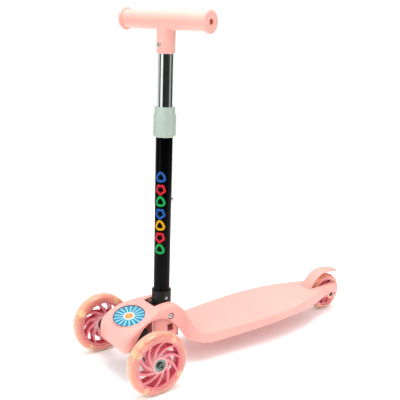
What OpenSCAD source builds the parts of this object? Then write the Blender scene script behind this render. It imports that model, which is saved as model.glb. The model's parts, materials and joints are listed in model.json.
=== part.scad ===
// Three-wheeled child's kick scooter that steers by leaning, with a folding column.
// Millimetres. +Z is up, -Y is the way it rides, and the origin is on the ground under its middle.

/* [Wheels] */
// Diameter of each front wheel
front_wheel_d = 110; // [92:1:132]
// Diameter of the rear wheel
rear_wheel_d = 76.6; // [68:0.2:88]
// Width of each tyre
tyre_w = 22; // [20:0.5:26]
// Radial thickness of a front tyre
front_tyre_t = 13; // [10:0.5:16]
// Radial thickness of the rear tyre
rear_tyre_t = 10; // [7:0.5:12]
// Distance between the middles of the front wheels
track = 193; // [160:1:232]
// Distance from the front axle to the rear axle
wheelbase = 474; // [395:1:570]
// Number of swirled spokes in each hub
spokes = 10; // [6:1:12]

/* [Deck and hood] */
// Width of the deck at its widest
deck_w = 131; // [110:1:158]
// Height of the deck's top at its front end
deck_z = 53.5; // [50:0.5:64]
// How much higher the deck's top is at the rear axle
deck_rise = 4.3; // [0:0.1:8]
// Thickness of the moulded walls
wall = 3; // [2.4:0.1:3.6]
// Width of the hood at its nose
nose_w = 104; // [96:1:124]
// Width of the hood at the column
waist_w = 66; // [62:1:78]
// Height of the hood's crest
hood_z = 117.5; // [112:0.5:124]
// Width of the fork's gap for the rear wheel
fork_gap = 28; // [27:0.5:31]
// Width across the two fork arms at the axle
fork_w = 53; // [50:0.5:60]

/* [Column] */
// Height of the fold pivot
pivot_z = 96; // [92:0.5:99]
// Distance of the fold pivot behind the front axle
pivot_y = 70.5; // [68:0.5:73]
// How far the column leans back, in degrees
column_lean = 1.8; // [0:0.1:5]
// Height of the handle bar's middle
handle_z = 599; // [540:1:700]
// Outside diameter of the lower tube
lower_tube_d = 28.5; // [26:0.1:34]
// Wall of the lower tube
lower_tube_t = 1.5; // [1.2:0.1:2]
// Wall of the upper tube, which slides in the lower one
upper_tube_t = 1.2; // [0.8:0.1:1.6]
// Wall of the socket that holds the lower tube
socket_t = 2.85; // [2.4:0.05:3.4]
// Height of the socket's mouth
socket_z = 136.7; // [130:0.5:146]
// Length of the locking collar
collar_h = 50; // [42:1:60]
// Height of the collar's lower end
collar_z = 409; // [380:1:440]
// Wall of the collar at its corners
collar_t = 4.65; // [4.2:0.05:6]
// Height of the snap button
button_z = 298; // [280:1:330]
// Distance between two height settings
height_step = 40; // [20:1:42]

/* [Handle] */
// Length of the handle bar between its end faces
handle_l = 180; // [150:1:216]
// Diameter of the grip
grip_d = 30.4; // [28:0.2:34]
// Diameter of the flanges at the grip's ends
flange_d = 37.2; // [34:0.2:44]
// Wall of the stem that holds the upper tube
stem_t = 2.5; // [2:0.1:4]
// How far the handle is turned out of square with the deck, in degrees
handle_turn = 15.8; // [-20:0.1:20]
// Diameter of the hole in each end of the grip
end_hole_d = 9; // [5:0.5:12]

/* [Steering] */
// Lean of the kingpin from upright, in degrees
kingpin_lean = 40; // [30:1:50]
// Diameter of the kingpin
kingpin_d = 8; // [6:0.5:10]

/* [Hidden] */
$fn = 64;

fit = 0.05;       // radial clearance of a pin or shaft that turns in its hole
gap = 0.3;        // clearance between pieces that move past each other
through = 1;      // how far a cutting shape runs past the face it cuts
spring_fn = 8;    // sides of a spring's wire
pink = "#f9bdb3";
deep_pink = "#ee7b86";
peach = "#f8b79c";
black = "#222422";
steel = "#b9bdc0";
mint = "#c9d8cc";

// ---- Places worked out from the driving sizes ----
front_r = front_wheel_d / 2;
rear_r = rear_wheel_d / 2;
middle_y = (wheelbase + rear_r - front_r) / 2;
nose_y = -30;
nose_sill = 58;                         // height of the nose's lower edge
deck_front = 132;                       // where the hood's back has run out into the deck
tread_gap = 11.7;                       // from the rear tyre's tread to the front end of the fork's gap
fork_y = wheelbase - rear_r - tread_gap;
fork_end = wheelbase + 16;
lug_r = 9.5;
skirt_front = 34.5;                     // heights of the skirt's lower edge
skirt_middle = 42;
skirt_rear = 40;
rib_t = 2.4;
rib_count = 6;
rib_step = (fork_y - deck_front) / (rib_count + 1);
slide_gap = 0.45;                       // radial clearance between the two tubes
upper_tube_d = lower_tube_d - 2 * (lower_tube_t + slide_gap);
socket_d = lower_tube_d + 2 * socket_t;
slot_w = socket_d + 1;                  // the slot that the column folds through
stem_d = upper_tube_d + 2 * stem_t;
collar_d = lower_tube_d + 2 * collar_t;
button_l = 7.7;                         // how far the release button's top stands in front of the socket
slot_front = pivot_y - slot_w / 2 - button_l;
box_x = slot_w / 2 + wall;
box_end = pivot_y + 20;
box_floor = nose_sill - 8;
hood_slope = 17.3;                      // of the hood's top in front of the column, in degrees

beam_h = 24;                            // the beam's middle, along the kingpin
beam_x = (track - tyre_w) / 2 - 2;      // where the beam ends beside each wheel
washer_t = 1.5;
post_r = 13;
king_top = 52;                          // length of kingpin above the front axle
king_nut_af = 13;
king_nut_h = 6.5;
spring_x = 29;                          // the centring springs
spring_d = 11;
spring_wire = 1.6;
spring_wall_w = 18;
beam_y = 11;                            // half the beam's depth, front to back
spring_seat_y = 28;

bearing_od = 22;                        // front wheel bearings
bearing_bore = 8;
bearing_w = 7;
rear_bearing_od = 19;
rear_bearing_bore = 6;
rear_bearing_w = 6;
front_axle_d = bearing_bore - 2 * fit;
axle_nut_x = beam_x - 26;
bead_h = 2;                             // the tyre's bead, in the hub's channel
bead_w = 8;
light_l = 11;
light_w = 7;
light_h = 3;
spoke_t = 3;
spoke_sweep = 52;                       // how far a spoke curls round the axle, in degrees
rear_axle_d = rear_bearing_bore - 2 * fit;
rear_head_d = 9.5;
rear_nut_af = 10;
rear_seat_x = fork_w / 2 - 4;

brake_y = fork_y + 6;
brake_z = rear_r + 9.6;
brake_pin_d = 4;
brake_pin_l = fork_gap + 24;
shoe_r = rear_r + 8.7;                  // underside of the fender, around the rear axle
shoe_t = 3.4;
shoe_w = fork_gap - 2;
tail_l = 30;                            // flat tail that a foot presses
brake_arm_r = 5;
brake_spring_l = 10;

fold_bolt_d = 5;
fold_head_d = 8;
fold_nut_af = 8;
fold_seat_x = waist_w / 2 - 3;
drum_step = 3.1;                        // how far the knuckle's round lower end is inside the socket's outside
drum_r = socket_d / 2 - drum_step;
button_w = slot_w - 2 * gap;            // release button
foot_w = 16;
foot_z = nose_sill + 9;
foot_t = 6;
socket_floor = 13;                      // lengths along the column, from the fold pivot
socket_top = socket_z - pivot_z;
screw_at = 28;
screw_d = 4;
screw_head_d = 6;                       // the socket screw's head, sunk flush in the socket
screw_head_h = 1.6;
collar_at = collar_z - pivot_z;
tube_top = collar_at + 22;
button_at = button_z - pivot_z;
button_d = 6;
button_tip = 5.7;                       // how far the snap button stands out of the lower tube
leaf_t = 0.8;
leaf_w = 7;
leaf_r = upper_tube_d / 2 - upper_tube_t - 1.4;
upper_bottom = button_at - 20;
handle_at = handle_z - pivot_z;
stem_l = 38;                            // from the handle bar's middle to the stem's lower end
stem_from = handle_at - stem_l - grip_d / 2;
bolt_at = stem_from + 14;
upper_top = handle_at - 6;
flange_t = 4.5;
plug_l = 18;
bar_t = 4.2;                            // wall of the handle's bar
plug_d = grip_d - 2 * bar_t;
plug_t = 3;                             // wall of the end cap's hollow plug
cap_skin = 3.5;                         // end cap's outer wall, which the hole goes through
cap_chamfer = 0.5;
badge_w = 70;
badge_l = 54;
badge_t = 1;
badge_y = 4.3;
badge_z = hood_z - 14.5;
collar_turn = 12;                       // of the collar's corners, in degrees
collar_cone = 8;

function deck_top(y) = deck_z + deck_rise * (y - deck_front) / (wheelbase - deck_front);

// A smooth line through hand-picked points
function blend4(a, b, c, d, t) =
    0.5 * (2 * b + (c - a) * t + (2 * a - 5 * b + 4 * c - d) * t * t + (3 * b - a - 3 * c + d) * t * t * t);
function smooth(p, n = 4) = [
    for (i = [0:len(p) - 2])
        for (j = [0:n - 1])
            blend4(p[max(i - 1, 0)], p[i], p[i + 1], p[min(i + 2, len(p) - 1)], j / n),
    p[len(p) - 1]
];

module place() translate([0, -middle_y, 0]) children();
module on_x(y, z) translate([0, y, z]) rotate([0, 90, 0]) children();
// The column's own frame: origin on the fold pivot, Z along the tubes
module on_column() place() translate([0, pivot_y, pivot_z]) rotate([-column_lean, 0, 0]) children();
// The kingpin's own frame: origin on the front axle, Z up along the pin
module on_king_axis() translate([0, 0, front_r]) rotate([-kingpin_lean, 0, 0]) children();

module tube(d, bore, h) difference() {
    cylinder(d = d, h = h);
    translate([0, 0, -through]) cylinder(d = bore, h = h + 2 * through);
}
module hex(across, h) cylinder(d = across / cos(30), h = h, $fn = 6);
// A round wire wound into a spring along Z
module coil(r, wire, length, turns) {
    steps = 12;
    n = steps * turns;
    points = [
        for (i = [0:n])
            let (a = 360 * i / steps, z = wire / 2 + (length - wire) * i / n)
                for (k = [0:spring_fn - 1])
                    let (b = 360 * k / spring_fn, q = r + wire / 2 * cos(b))
                        [q * cos(a), q * sin(a), z + wire / 2 * sin(b)]
    ];
    sides = [
        for (i = [0:n - 1])
            for (k = [0:spring_fn - 1])
                let (m = (k + 1) % spring_fn, a = i * spring_fn, b = a + spring_fn)
                    [a + k, b + k, b + m, a + m]
    ];
    start = [for (k = [0:spring_fn - 1]) k];
    end = [for (k = [spring_fn - 1:-1:0]) n * spring_fn + k];
    polyhedron(points = points, faces = concat(sides, [start, end]), convexity = 8);
}

// ---- Deck, hood and fork: one moulding ----
// Half width of the moulding from nose to fork, seen from above
plan = smooth([
    [0, nose_y], [nose_w / 2 - 18, nose_y], [nose_w / 2 - 7, nose_y + 3], [nose_w / 2 - 1, nose_y + 12],
    [nose_w / 2 - 1, nose_y + 25], [nose_w / 2 - 5, nose_y + 45], [(nose_w + waist_w) / 4, pivot_y - 38],
    [waist_w / 2 + 1.5, pivot_y - 12], [waist_w / 2, pivot_y + 6], [waist_w / 2 + 2.5, pivot_y + 20],
    [deck_w / 2 - 22, deck_front - 30], [deck_w / 2 - 13, deck_front - 12], [deck_w / 2 - 10, deck_front + 10],
    [deck_w / 2 - 8, deck_front + 40], [deck_w / 2 - 3, deck_front + 90], [deck_w / 2, wheelbase - 185],
    [deck_w / 2 - 2.5, wheelbase - 145], [deck_w / 2 - 10, wheelbase - 100],
    [(deck_w + fork_w) / 4 - 3, wheelbase - 60], [fork_w / 2 + 5, wheelbase - 28], [fork_w / 2, wheelbase - 4],
    [fork_w / 2 - 0.5, fork_end]
]);
// The same outline, drawn further in by a wall's thickness
function inset_plan(side, inset) = [
    for (p = plan) [side * max(p[0] - inset, 0), max(p[1], nose_y + inset)]
];
module plan_shape(inset = 0) polygon(concat(
    inset_plan(1, inset),
    [for (i = [len(plan) - 1:-1:0]) inset_plan(-1, inset)[i]]
));

// Top line of the moulding, seen from the side
crest = smooth([
    [nose_y - 1, nose_sill], [nose_y - 1.5, nose_sill + 16], [nose_y + 5, hood_z - 30.5],
    [nose_y + 17, hood_z - 21], [5, hood_z - 14.5], [24, hood_z - 8], [slot_front, hood_z - 2],
    [pivot_y - 8, hood_z],
    [pivot_y + 6, hood_z - 0.6], [pivot_y + 17, hood_z - 5.5], [pivot_y + 26, hood_z - 14.5],
    [deck_front - 29, deck_z + 35], [deck_front - 22, deck_z + 21], [deck_front - 13, deck_z + 9],
    [deck_front, deck_z + 1.5], [deck_front + 16, deck_z + 0.2]
]);
skirt = [
    [fork_end, skirt_rear], [fork_y, skirt_rear], [wheelbase - 145, skirt_middle],
    [deck_front + 25, skirt_front], [deck_front + 6, skirt_front + 1], [deck_front - 12, skirt_front + 5],
    [deck_front - 12, nose_sill - 12], [nose_y - 1, nose_sill]
];
module side_shape() polygon(concat(crest, [[fork_end, deck_top(fork_end)]], skirt));
// The space under the top wall: open below
module inner_side_shape() polygon(concat(
    [for (p = crest) if (p[1] > nose_sill || p[0] > 0)
        [p[0] + (p[0] < 0 ? wall : p[0] > pivot_y && p[1] > deck_z + wall ? -wall * 0.8 : 0), p[1] - wall]],
    [[fork_end, deck_top(fork_end) - wall], [fork_end, -through], [nose_y - 1 + wall, -through]]
));
// A shape drawn in Y and Z, made as wide as the moulding
module across(width) translate([-width / 2, 0, 0]) rotate([90, 0, 90]) linear_extrude(width) children();

module outer_body() intersection() {
    linear_extrude(hood_z + through) plan_shape();
    across(2 * deck_w) side_shape();
}
module inner_body(from_y, to_y) intersection() {
    translate([0, 0, -through]) linear_extrude(hood_z) plan_shape(wall);
    across(2 * deck_w) inner_side_shape();
    translate([-deck_w, from_y, -2 * through]) cube([2 * deck_w, to_y - from_y, hood_z]);
}
// Openings in the hood's sides, which the steering beam leans in
arch = smooth([
    [nose_y + 3, nose_sill], [nose_y + 18, nose_sill + 18.5], [-2.5, hood_z - 28.5], [7, hood_z - 19.5],
    [21, hood_z - 15], [36, hood_z - 15.5], [52, hood_z - 19.5], [pivot_y - 3, hood_z - 28],
    [pivot_y + 10, hood_z - 40.5], [pivot_y + 18, deck_z + 11], [deck_front - 36, deck_z - 0.5],
    [deck_front - 29, deck_z - 6.5], [deck_front - 23, skirt_front + 9], [deck_front - 11, skirt_front + 5.4]
]);
module arches() across(2 * deck_w)
    polygon(concat(arch, [[deck_front - 11, -through], [nose_y + 3, -through]]));

// Two walls beside the column's slot, joined in front, at the back and by a floor
module column_box() difference() {
    translate([-box_x, slot_front - wall, box_floor])
        cube([2 * box_x, box_end - slot_front + 2 * wall, hood_z]);
    translate([-slot_w / 2, slot_front, box_floor + wall]) cube([slot_w, box_end - slot_front, hood_z]);
    // windows that show the release button's foot
    translate([0, pivot_y + 6, nose_sill + 11]) cube([4 * box_x, 12, 13], center = true);
}
module kingpin_post() on_king_axis() translate([0, 0, beam_h / 2 + washer_t])
    cylinder(r = post_r, h = hood_z);
// Bosses that carry the fold bolt's head and nut
module fold_boss() on_x(pivot_y, pivot_z) cylinder(d = fold_nut_af + 8, h = waist_w, center = true);
// Walls that the centring springs push against
module spring_walls() for (side = [-1, 1])
    translate([side * spring_x - spring_wall_w / 2, spring_seat_y, front_r - spring_wall_w / 2])
        cube([spring_wall_w, wall, hood_z]);
module ribs() {
    for (x = [-1, 0, 1])
        translate([x * deck_w / 5 - rib_t / 2, deck_front - 10, skirt_middle + 1])
            cube([rib_t, fork_y - deck_front, hood_z]);
    for (i = [1:rib_count])
        translate([-deck_w / 2, deck_front - 10 + i * rib_step, skirt_middle + 1])
            cube([deck_w, rib_t, hood_z]);
}
// Ends of the fork arms, around the axle and level with the deck
module fork_ends() {
    on_x(wheelbase, rear_r) cylinder(r = lug_r, h = fork_w, center = true);
    on_x(fork_end - 9, deck_top(fork_end) - 9) cylinder(r = 9, h = fork_w - 1, center = true);
    translate([-fork_w / 2, wheelbase - lug_r, rear_r])
        cube([fork_w, 2 * lug_r, deck_top(wheelbase) - rear_r - 4]);
}
module deck() color(pink) place() difference() {
    union() {
        difference() {
            outer_body();
            arches();
            inner_body(nose_y, deck_front - 17);
            inner_body(deck_front - 12, fork_y - wall);
            translate([-deck_w, fork_end - 9, -through]) cube([2 * deck_w, deck_w, hood_z]);
        }
        fork_ends();
        intersection() {
            outer_body();
            union() {
                column_box();
                fold_boss();
                kingpin_post();
                spring_walls();
                ribs();
            }
        }
    }
    // slot for the column, deep inside the box and shallow behind it
    translate([-slot_w / 2, slot_front, box_floor + wall]) cube([slot_w, box_end - slot_front, hood_z]);
    translate([-slot_w / 2, slot_front, pivot_z - 22]) cube([slot_w, deck_front - 10 - slot_front, hood_z]);
    translate([-fork_gap / 2, fork_y, -through]) cube([fork_gap, fork_end, hood_z]);
    on_king_axis() {
        cylinder(d = kingpin_d + 2 * fit, h = king_top + 1);
        translate([0, 0, king_top - king_nut_h - 4]) {
            hex(king_nut_af + 4 * fit, king_nut_h + 4 * fit);
            translate([-king_nut_af / 2 - 2 * fit, -2 * post_r, 0])
                cube([king_nut_af + 4 * fit, 2 * post_r, king_nut_h + 4 * fit]);
        }
    }
    on_x(pivot_y, pivot_z) {
        cylinder(d = fold_bolt_d + 2 * fit, h = 2 * waist_w, center = true);
        translate([0, 0, fold_seat_x]) cylinder(d = fold_head_d + 1.6, h = waist_w);
        translate([0, 0, -fold_seat_x - waist_w]) cylinder(d = fold_nut_af + 4, h = waist_w);
    }
    on_x(wheelbase, rear_r) {
        cylinder(d = rear_axle_d + 2 * fit, h = 2 * fork_w, center = true);
        translate([0, 0, rear_seat_x]) cylinder(d = rear_head_d + 1, h = fork_w);
        translate([0, 0, -rear_seat_x - fork_w]) cylinder(d = rear_nut_af + 3, h = fork_w);
    }
    on_x(brake_y, brake_z) cylinder(d = brake_pin_d + 2 * fit, h = brake_pin_l, center = true);
    on_badge() translate([0, 0, -badge_t]) badge_disc(hood_z, 0.15);
}

// ---- Badge: a thin oval let into the hood's sloping top ----
module on_badge() translate([0, badge_y, badge_z]) rotate([hood_slope, 0, 0]) children();
module badge_disc(h, grow) linear_extrude(h) polygon([
    for (a = [0:6:354]) [(badge_w / 2 + grow) * cos(a), (badge_l / 2 + grow) * sin(a)]
]);
module hood_badge() color("#2aa5d8") place() on_badge() translate([0, 0, -badge_t]) badge_disc(badge_t, 0);

// ---- Steering beam and kingpin ----
module steering_beam() color(black) place() difference() {
    union() {
        on_king_axis() translate([0, 0, -beam_h / 2]) cylinder(r = 15, h = beam_h);
        on_x(0, front_r) cylinder(r = 9, h = 2 * beam_x, center = true);
        translate([-45, -beam_y, front_r - 8]) cube([90, 2 * beam_y, 16]);
        for (side = [-1, 1])
            on_x(0, front_r) translate([0, 0, side * (beam_x - 8)]) cylinder(r = 11, h = 16, center = true);
    }
    on_king_axis() cylinder(d = kingpin_d + 4, h = 2 * beam_h, center = true);
    // the post's end face and the kingpin's head each have a flat to seat on
    on_king_axis() translate([0, 0, beam_h / 2]) cylinder(r = 30, h = beam_h);
    on_king_axis() translate([0, 0, -1.5 * beam_h]) cylinder(r = 16, h = beam_h);
    on_x(0, front_r) cylinder(d = front_axle_d + 2 * fit, h = 3 * beam_x, center = true);
    // pockets that hold the axle nuts
    for (side = [-1, 1])
        translate([side * axle_nut_x, 0, front_r - 6]) cube([7.4, 13.4, 36], center = true);
}
module beam_bush() color("white") place() on_king_axis() translate([0, 0, -beam_h / 2])
    tube(kingpin_d + 4, kingpin_d + 2 * fit, beam_h);
module thrust_washer() color(steel) place() on_king_axis() translate([0, 0, beam_h / 2])
    tube(24, kingpin_d + 2 * fit, washer_t);
module kingpin() color(steel) place() on_king_axis() {
    translate([0, 0, -beam_h / 2 - washer_t]) cylinder(d = kingpin_d, h = beam_h / 2 + washer_t + king_top);
    translate([0, 0, -beam_h / 2 - washer_t]) cylinder(d = 20, h = washer_t);
    translate([0, 0, -beam_h / 2 - washer_t - 5]) hex(13, 5);
}
module kingpin_nut() color(steel) place() on_king_axis() translate([0, 0, king_top - king_nut_h - 4 + fit])
    difference() {
        hex(king_nut_af, king_nut_h);
        translate([0, 0, -through]) cylinder(d = kingpin_d, h = king_nut_h + 2 * through);
    }
module centring_spring(side) color(steel) place()
    translate([side * spring_x, spring_seat_y, front_r]) rotate([90, 0, 0])
        coil((spring_d - spring_wire) / 2, spring_wire, spring_seat_y - beam_y, 5);
module centring_spring_left() centring_spring(-1);
module centring_spring_right() centring_spring(1);

// ---- Wheels: each is drawn around its own axle, with +X its outer side ----
module tyre(r, t) rotate([0, 90, 0]) difference() {
    crown_r = t / 2 - 0.5;
    rotate_extrude($fn = 96) union() {
        translate([r - t, -tyre_w / 2 + 1]) square([t - crown_r, tyre_w - 2]);
        translate([r - t + 1, -tyre_w / 2]) square([t - crown_r - 1, tyre_w]);
        translate([r - t, -tyre_w / 2 + crown_r]) square([t, tyre_w - 2 * crown_r]);
        for (side = [-1, 1]) {
            translate([r - crown_r, side * (tyre_w / 2 - crown_r)]) circle(r = crown_r, $fn = 48);
            translate([r - t + 1, side * (tyre_w / 2 - 1)]) circle(r = 1, $fn = 24);
        }
        translate([r - t - bead_h, -bead_w / 2]) square([2 * bead_h, bead_w]);
    }
    lights(r - t);
}
// Light modules, sunk in the tyre's inner face. light_r is the radius of that face
module lights(light_r) for (i = [0:3])
    rotate([0, 0, 90 * i + 35]) translate([light_r + 0.5, -light_l / 2, -light_w / 2])
        cube([light_h, light_l, light_w]);
module light_set(light_r) rotate([0, 90, 0]) lights(light_r);
// One curved spoke, from the boss to the rim
module spoke(from_r, to_r) {
    steps = 8;
    path = [for (i = [0:steps]) [from_r + (to_r - from_r) * i / steps, -spoke_sweep * pow(i / steps, 0.8)]];
    function edge(p, side) = let (a = p[1] + side * 90 * spoke_t / PI / p[0]) p[0] * [cos(a), sin(a)];
    linear_extrude(tyre_w - 5, center = true)
        polygon(concat([for (p = path) edge(p, 1)], [for (i = [steps:-1:0]) edge(path[i], -1)]));
}
// Rim, boss, web and swirled spokes
module hub(r, boss_d, seat_d, seat_w, bore) rotate([0, 90, 0]) difference() {
    union() {
        translate([0, 0, 1.2 - tyre_w / 2]) tube(2 * r, 2 * r - 6, tyre_w - 2.4);
        cylinder(d = boss_d, h = tyre_w, center = true);
        cylinder(d = boss_d + (2 * r - boss_d) * 0.4, h = 3.4, center = true);
        for (i = [0:spokes - 1])
            rotate([0, 0, 360 * i / spokes]) spoke(boss_d / 2 - 1, r - 2);
    }
    // the channel that the tyre's bead sits in
    rotate_extrude($fn = 96) translate([r - bead_h, -bead_w / 2]) square([2 * bead_h, bead_w]);
    for (side = [-1, 1])
        translate([0, 0, side * tyre_w / 2]) cylinder(d = seat_d, h = 2 * seat_w, center = true);
    cylinder(d = bore, h = 2 * tyre_w, center = true);
}
// The two ball bearings of a hub, each simplified to one ring with its shield groove
module bearings(od, bore, w) for (side = [-1, 1])
    translate([side * (tyre_w / 2 - w / 2), 0, 0]) rotate([0, 90, 0]) difference() {
        cylinder(d = od, h = w, center = true);
        cylinder(d = bore, h = 2 * w, center = true);
        for (z = [-1, 1])
            translate([0, 0, z * w / 2]) rotate_extrude()
                translate([bore / 2 + (od - bore) * 0.16, -0.6]) square([(od - bore) * 0.19, 1.2]);
    }
module spacer(od, bore, w) rotate([0, 90, 0]) translate([0, 0, w - tyre_w / 2])
    tube(od, bore, tyre_w - 2 * w);

module front_wheel(side) place() translate([side * track / 2, 0, front_r])
    rotate([0, 0, side > 0 ? 0 : 180]) children();
module rear_wheel() place() translate([0, wheelbase, rear_r]) children();
module front_tyre() color(peach) tyre(front_r, front_tyre_t);
module front_hub() color(deep_pink)
    hub(front_r - front_tyre_t, bearing_od + 7, bearing_od, bearing_w, bearing_od - 5);
module front_bearings() color(steel) bearings(bearing_od, bearing_bore, bearing_w);
module front_spacer() color("silver") spacer(bearing_od - 8, bearing_bore, bearing_w);
module front_lights() color("#f6ef9a") light_set(front_r - front_tyre_t);
// Bolt from the wheel's outer side into the nut held in the beam
module front_axle_bolt() color(steel) rotate([0, 90, 0]) {
    bolt_from = beam_x - 34 - track / 2;
    translate([0, 0, bolt_from]) cylinder(d = front_axle_d, h = tyre_w / 2 - bolt_from);
    translate([0, 0, tyre_w / 2]) socket_head(12.5, 4.2, 5);
}
module socket_head(d, h, key) difference() {
    union() {
        cylinder(d = d, h = h - 1);
        cylinder(d = d - 2, h = h);
    }
    translate([0, 0, h - 2.4]) hex(key, 3);
}
module front_axle_nut() color(steel) translate([axle_nut_x - track / 2, 0, 0]) rotate([0, 90, 0])
    difference() {
        cylinder(d = 13 / cos(30), h = 7, center = true, $fn = 6);
        cylinder(d = front_axle_d, h = 20, center = true);
    }
module front_axle_washer() color(steel) rotate([0, 90, 0]) translate([0, 0, beam_x - track / 2])
    tube(12.5, front_axle_d, track / 2 - tyre_w / 2 - beam_x);
module tyre_left() front_wheel(-1) front_tyre();
module tyre_right() front_wheel(1) front_tyre();
module hub_left() front_wheel(-1) front_hub();
module hub_right() front_wheel(1) front_hub();
module bearings_left() front_wheel(-1) front_bearings();
module bearings_right() front_wheel(1) front_bearings();
module spacer_left() front_wheel(-1) front_spacer();
module spacer_right() front_wheel(1) front_spacer();
module lights_left() front_wheel(-1) front_lights();
module lights_right() front_wheel(1) front_lights();
module axle_bolt_left() front_wheel(-1) front_axle_bolt();
module axle_bolt_right() front_wheel(1) front_axle_bolt();
module axle_nut_left() front_wheel(-1) front_axle_nut();
module axle_nut_right() front_wheel(1) front_axle_nut();
module axle_washer_left() front_wheel(-1) front_axle_washer();
module axle_washer_right() front_wheel(1) front_axle_washer();

module rear_tyre() color(peach) rear_wheel() tyre(rear_r, rear_tyre_t);
module rear_hub() color(deep_pink) rear_wheel()
    hub(rear_r - rear_tyre_t, rear_bearing_od + 6, rear_bearing_od, rear_bearing_w, rear_bearing_od - 5);
module rear_bearings() color(steel) rear_wheel() bearings(rear_bearing_od, rear_bearing_bore, rear_bearing_w);
module rear_spacer() color("silver") rear_wheel()
    spacer(rear_bearing_od - 7, rear_bearing_bore, rear_bearing_w);
module rear_lights() color("#f6ef9a") rear_wheel() light_set(rear_r - rear_tyre_t);
module rear_axle_bolt() color(steel) rear_wheel() rotate([0, 90, 0]) {
    translate([0, 0, -rear_seat_x - 3.6]) cylinder(d = rear_axle_d, h = 2 * rear_seat_x + 3.6);
    translate([0, 0, rear_seat_x]) socket_head(rear_head_d, 3.2, 4);
}
module rear_axle_nut() color(steel) rear_wheel() rotate([0, -90, 0]) translate([0, 0, rear_seat_x])
    difference() {
        hex(rear_nut_af, 3.6);
        translate([0, 0, -through]) cylinder(d = rear_axle_d, h = 3.6 + 2 * through);
    }
module rear_washers() color(steel) rear_wheel() for (side = [0, 180])
    rotate([0, 90, side]) translate([0, 0, tyre_w / 2]) tube(10, rear_bearing_bore, (fork_gap - tyre_w) / 2);

// ---- Rear brake: a sprung fender on a pin across the fork ----
module brake_fender() color(pink) place() difference() {
    union() {
        intersection() {
            on_x(wheelbase, rear_r) difference() {
                cylinder(r = shoe_r + shoe_t, h = shoe_w, center = true, $fn = 96);
                cylinder(r = shoe_r, h = 2 * shoe_w, center = true, $fn = 96);
            }
            across(shoe_w) polygon([
                [brake_y - 8, brake_z + 4], [wheelbase, rear_r + 12], [wheelbase + 12, 3 * rear_r],
                [brake_y - 8, 3 * rear_r]
            ]);
        }
        // tail that a foot presses
        translate([-shoe_w / 2, wheelbase, rear_r + shoe_r]) rotate([-10, 0, 0])
            cube([shoe_w, tail_l, shoe_t]);
        // arm down to the pin
        across(shoe_w) polygon([
            [brake_y - brake_arm_r, brake_z], [brake_y + brake_arm_r, brake_z],
            [wheelbase - shoe_r * 0.8, rear_r + shoe_r * 0.6],
            [wheelbase - shoe_r * 0.8 - 4, rear_r + shoe_r * 0.66]
        ]);
        on_x(brake_y, brake_z) cylinder(r = brake_arm_r, h = shoe_w, center = true);
    }
    on_x(brake_y, brake_z) cylinder(d = brake_pin_d + 2 * fit, h = 2 * shoe_w, center = true);
    // room for the spring
    on_x(brake_y, brake_z) cylinder(r = brake_arm_r + 3, h = brake_spring_l + 2, center = true);
}
module brake_pin() color(steel) place() on_x(brake_y, brake_z)
    cylinder(d = brake_pin_d, h = brake_pin_l - 1, center = true);
module brake_spring() color(steel) place() on_x(brake_y, brake_z) translate([0, 0, -brake_spring_l / 2])
    coil(brake_pin_d / 2 + 1, 1.2, brake_spring_l, 6);

// ---- Folding joint ----
module knuckle() color(black) on_column() difference() {
    union() {
        rotate([0, 90, 0]) cylinder(r = drum_r, h = slot_w - 2.4, center = true);
        translate([1.2 - slot_w / 2, -drum_r, 0]) cube([slot_w - 2.4, 2 * drum_r, socket_floor]);
        translate([0, 0, socket_floor - 0.01]) cylinder(d = socket_d, h = socket_top - socket_floor);
    }
    rotate([0, 90, 0]) cylinder(d = fold_bolt_d + 2 * fit, h = 2 * slot_w, center = true);
    translate([0, 0, socket_floor]) cylinder(d = lower_tube_d + 2 * fit, h = socket_top);
    // notch for the release button's tooth
    translate([-5, -7, -drum_r - 1]) cube([10, 9, 5]);
    translate([0, 0, screw_at]) rotate([0, 90, 0]) {
        cylinder(d = screw_d + 2 * fit, h = 2 * socket_d, center = true);
        translate([0, 0, socket_d / 2 - screw_head_h]) cylinder(d = screw_head_d + gap, h = socket_d);
    }
}
module fold_bolt() color(steel) place() on_x(pivot_y, pivot_z) {
    translate([0, 0, -fold_seat_x - 4]) cylinder(d = fold_bolt_d, h = 2 * fold_seat_x + 4);
    translate([0, 0, fold_seat_x]) socket_head(fold_head_d, 2.6, 3);
}
module fold_nut() color(steel) place() on_x(pivot_y, pivot_z) translate([0, 0, -fold_seat_x - 4])
    difference() {
        hex(fold_nut_af, 4);
        translate([0, 0, -through]) cylinder(d = fold_bolt_d, h = 4 + 2 * through);
    }
// Button in front of the column, with a foot and a tooth under the knuckle
module release_button() color(black) place() union() {
    translate([-button_w / 2, slot_front + gap, hood_z - 16])
        cube([button_w, pivot_y - socket_d / 2 - 2 - slot_front, 12.5]);
    translate([-foot_w / 2, slot_front + gap, foot_z]) cube([foot_w, 6, hood_z - 8 - foot_z]);
    translate([-foot_w / 2, slot_front + gap, foot_z]) cube([foot_w, pivot_y + 14 - slot_front, foot_t]);
    translate([-4.5, pivot_y - 7, foot_z]) cube([9, 8, pivot_z - drum_r - 1 - foot_z]);
}
module release_spring() color(steel) place() translate([0, slot_front + 12, box_floor + wall])
    coil(3.6, 1, foot_z - box_floor - wall, 6);

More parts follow.
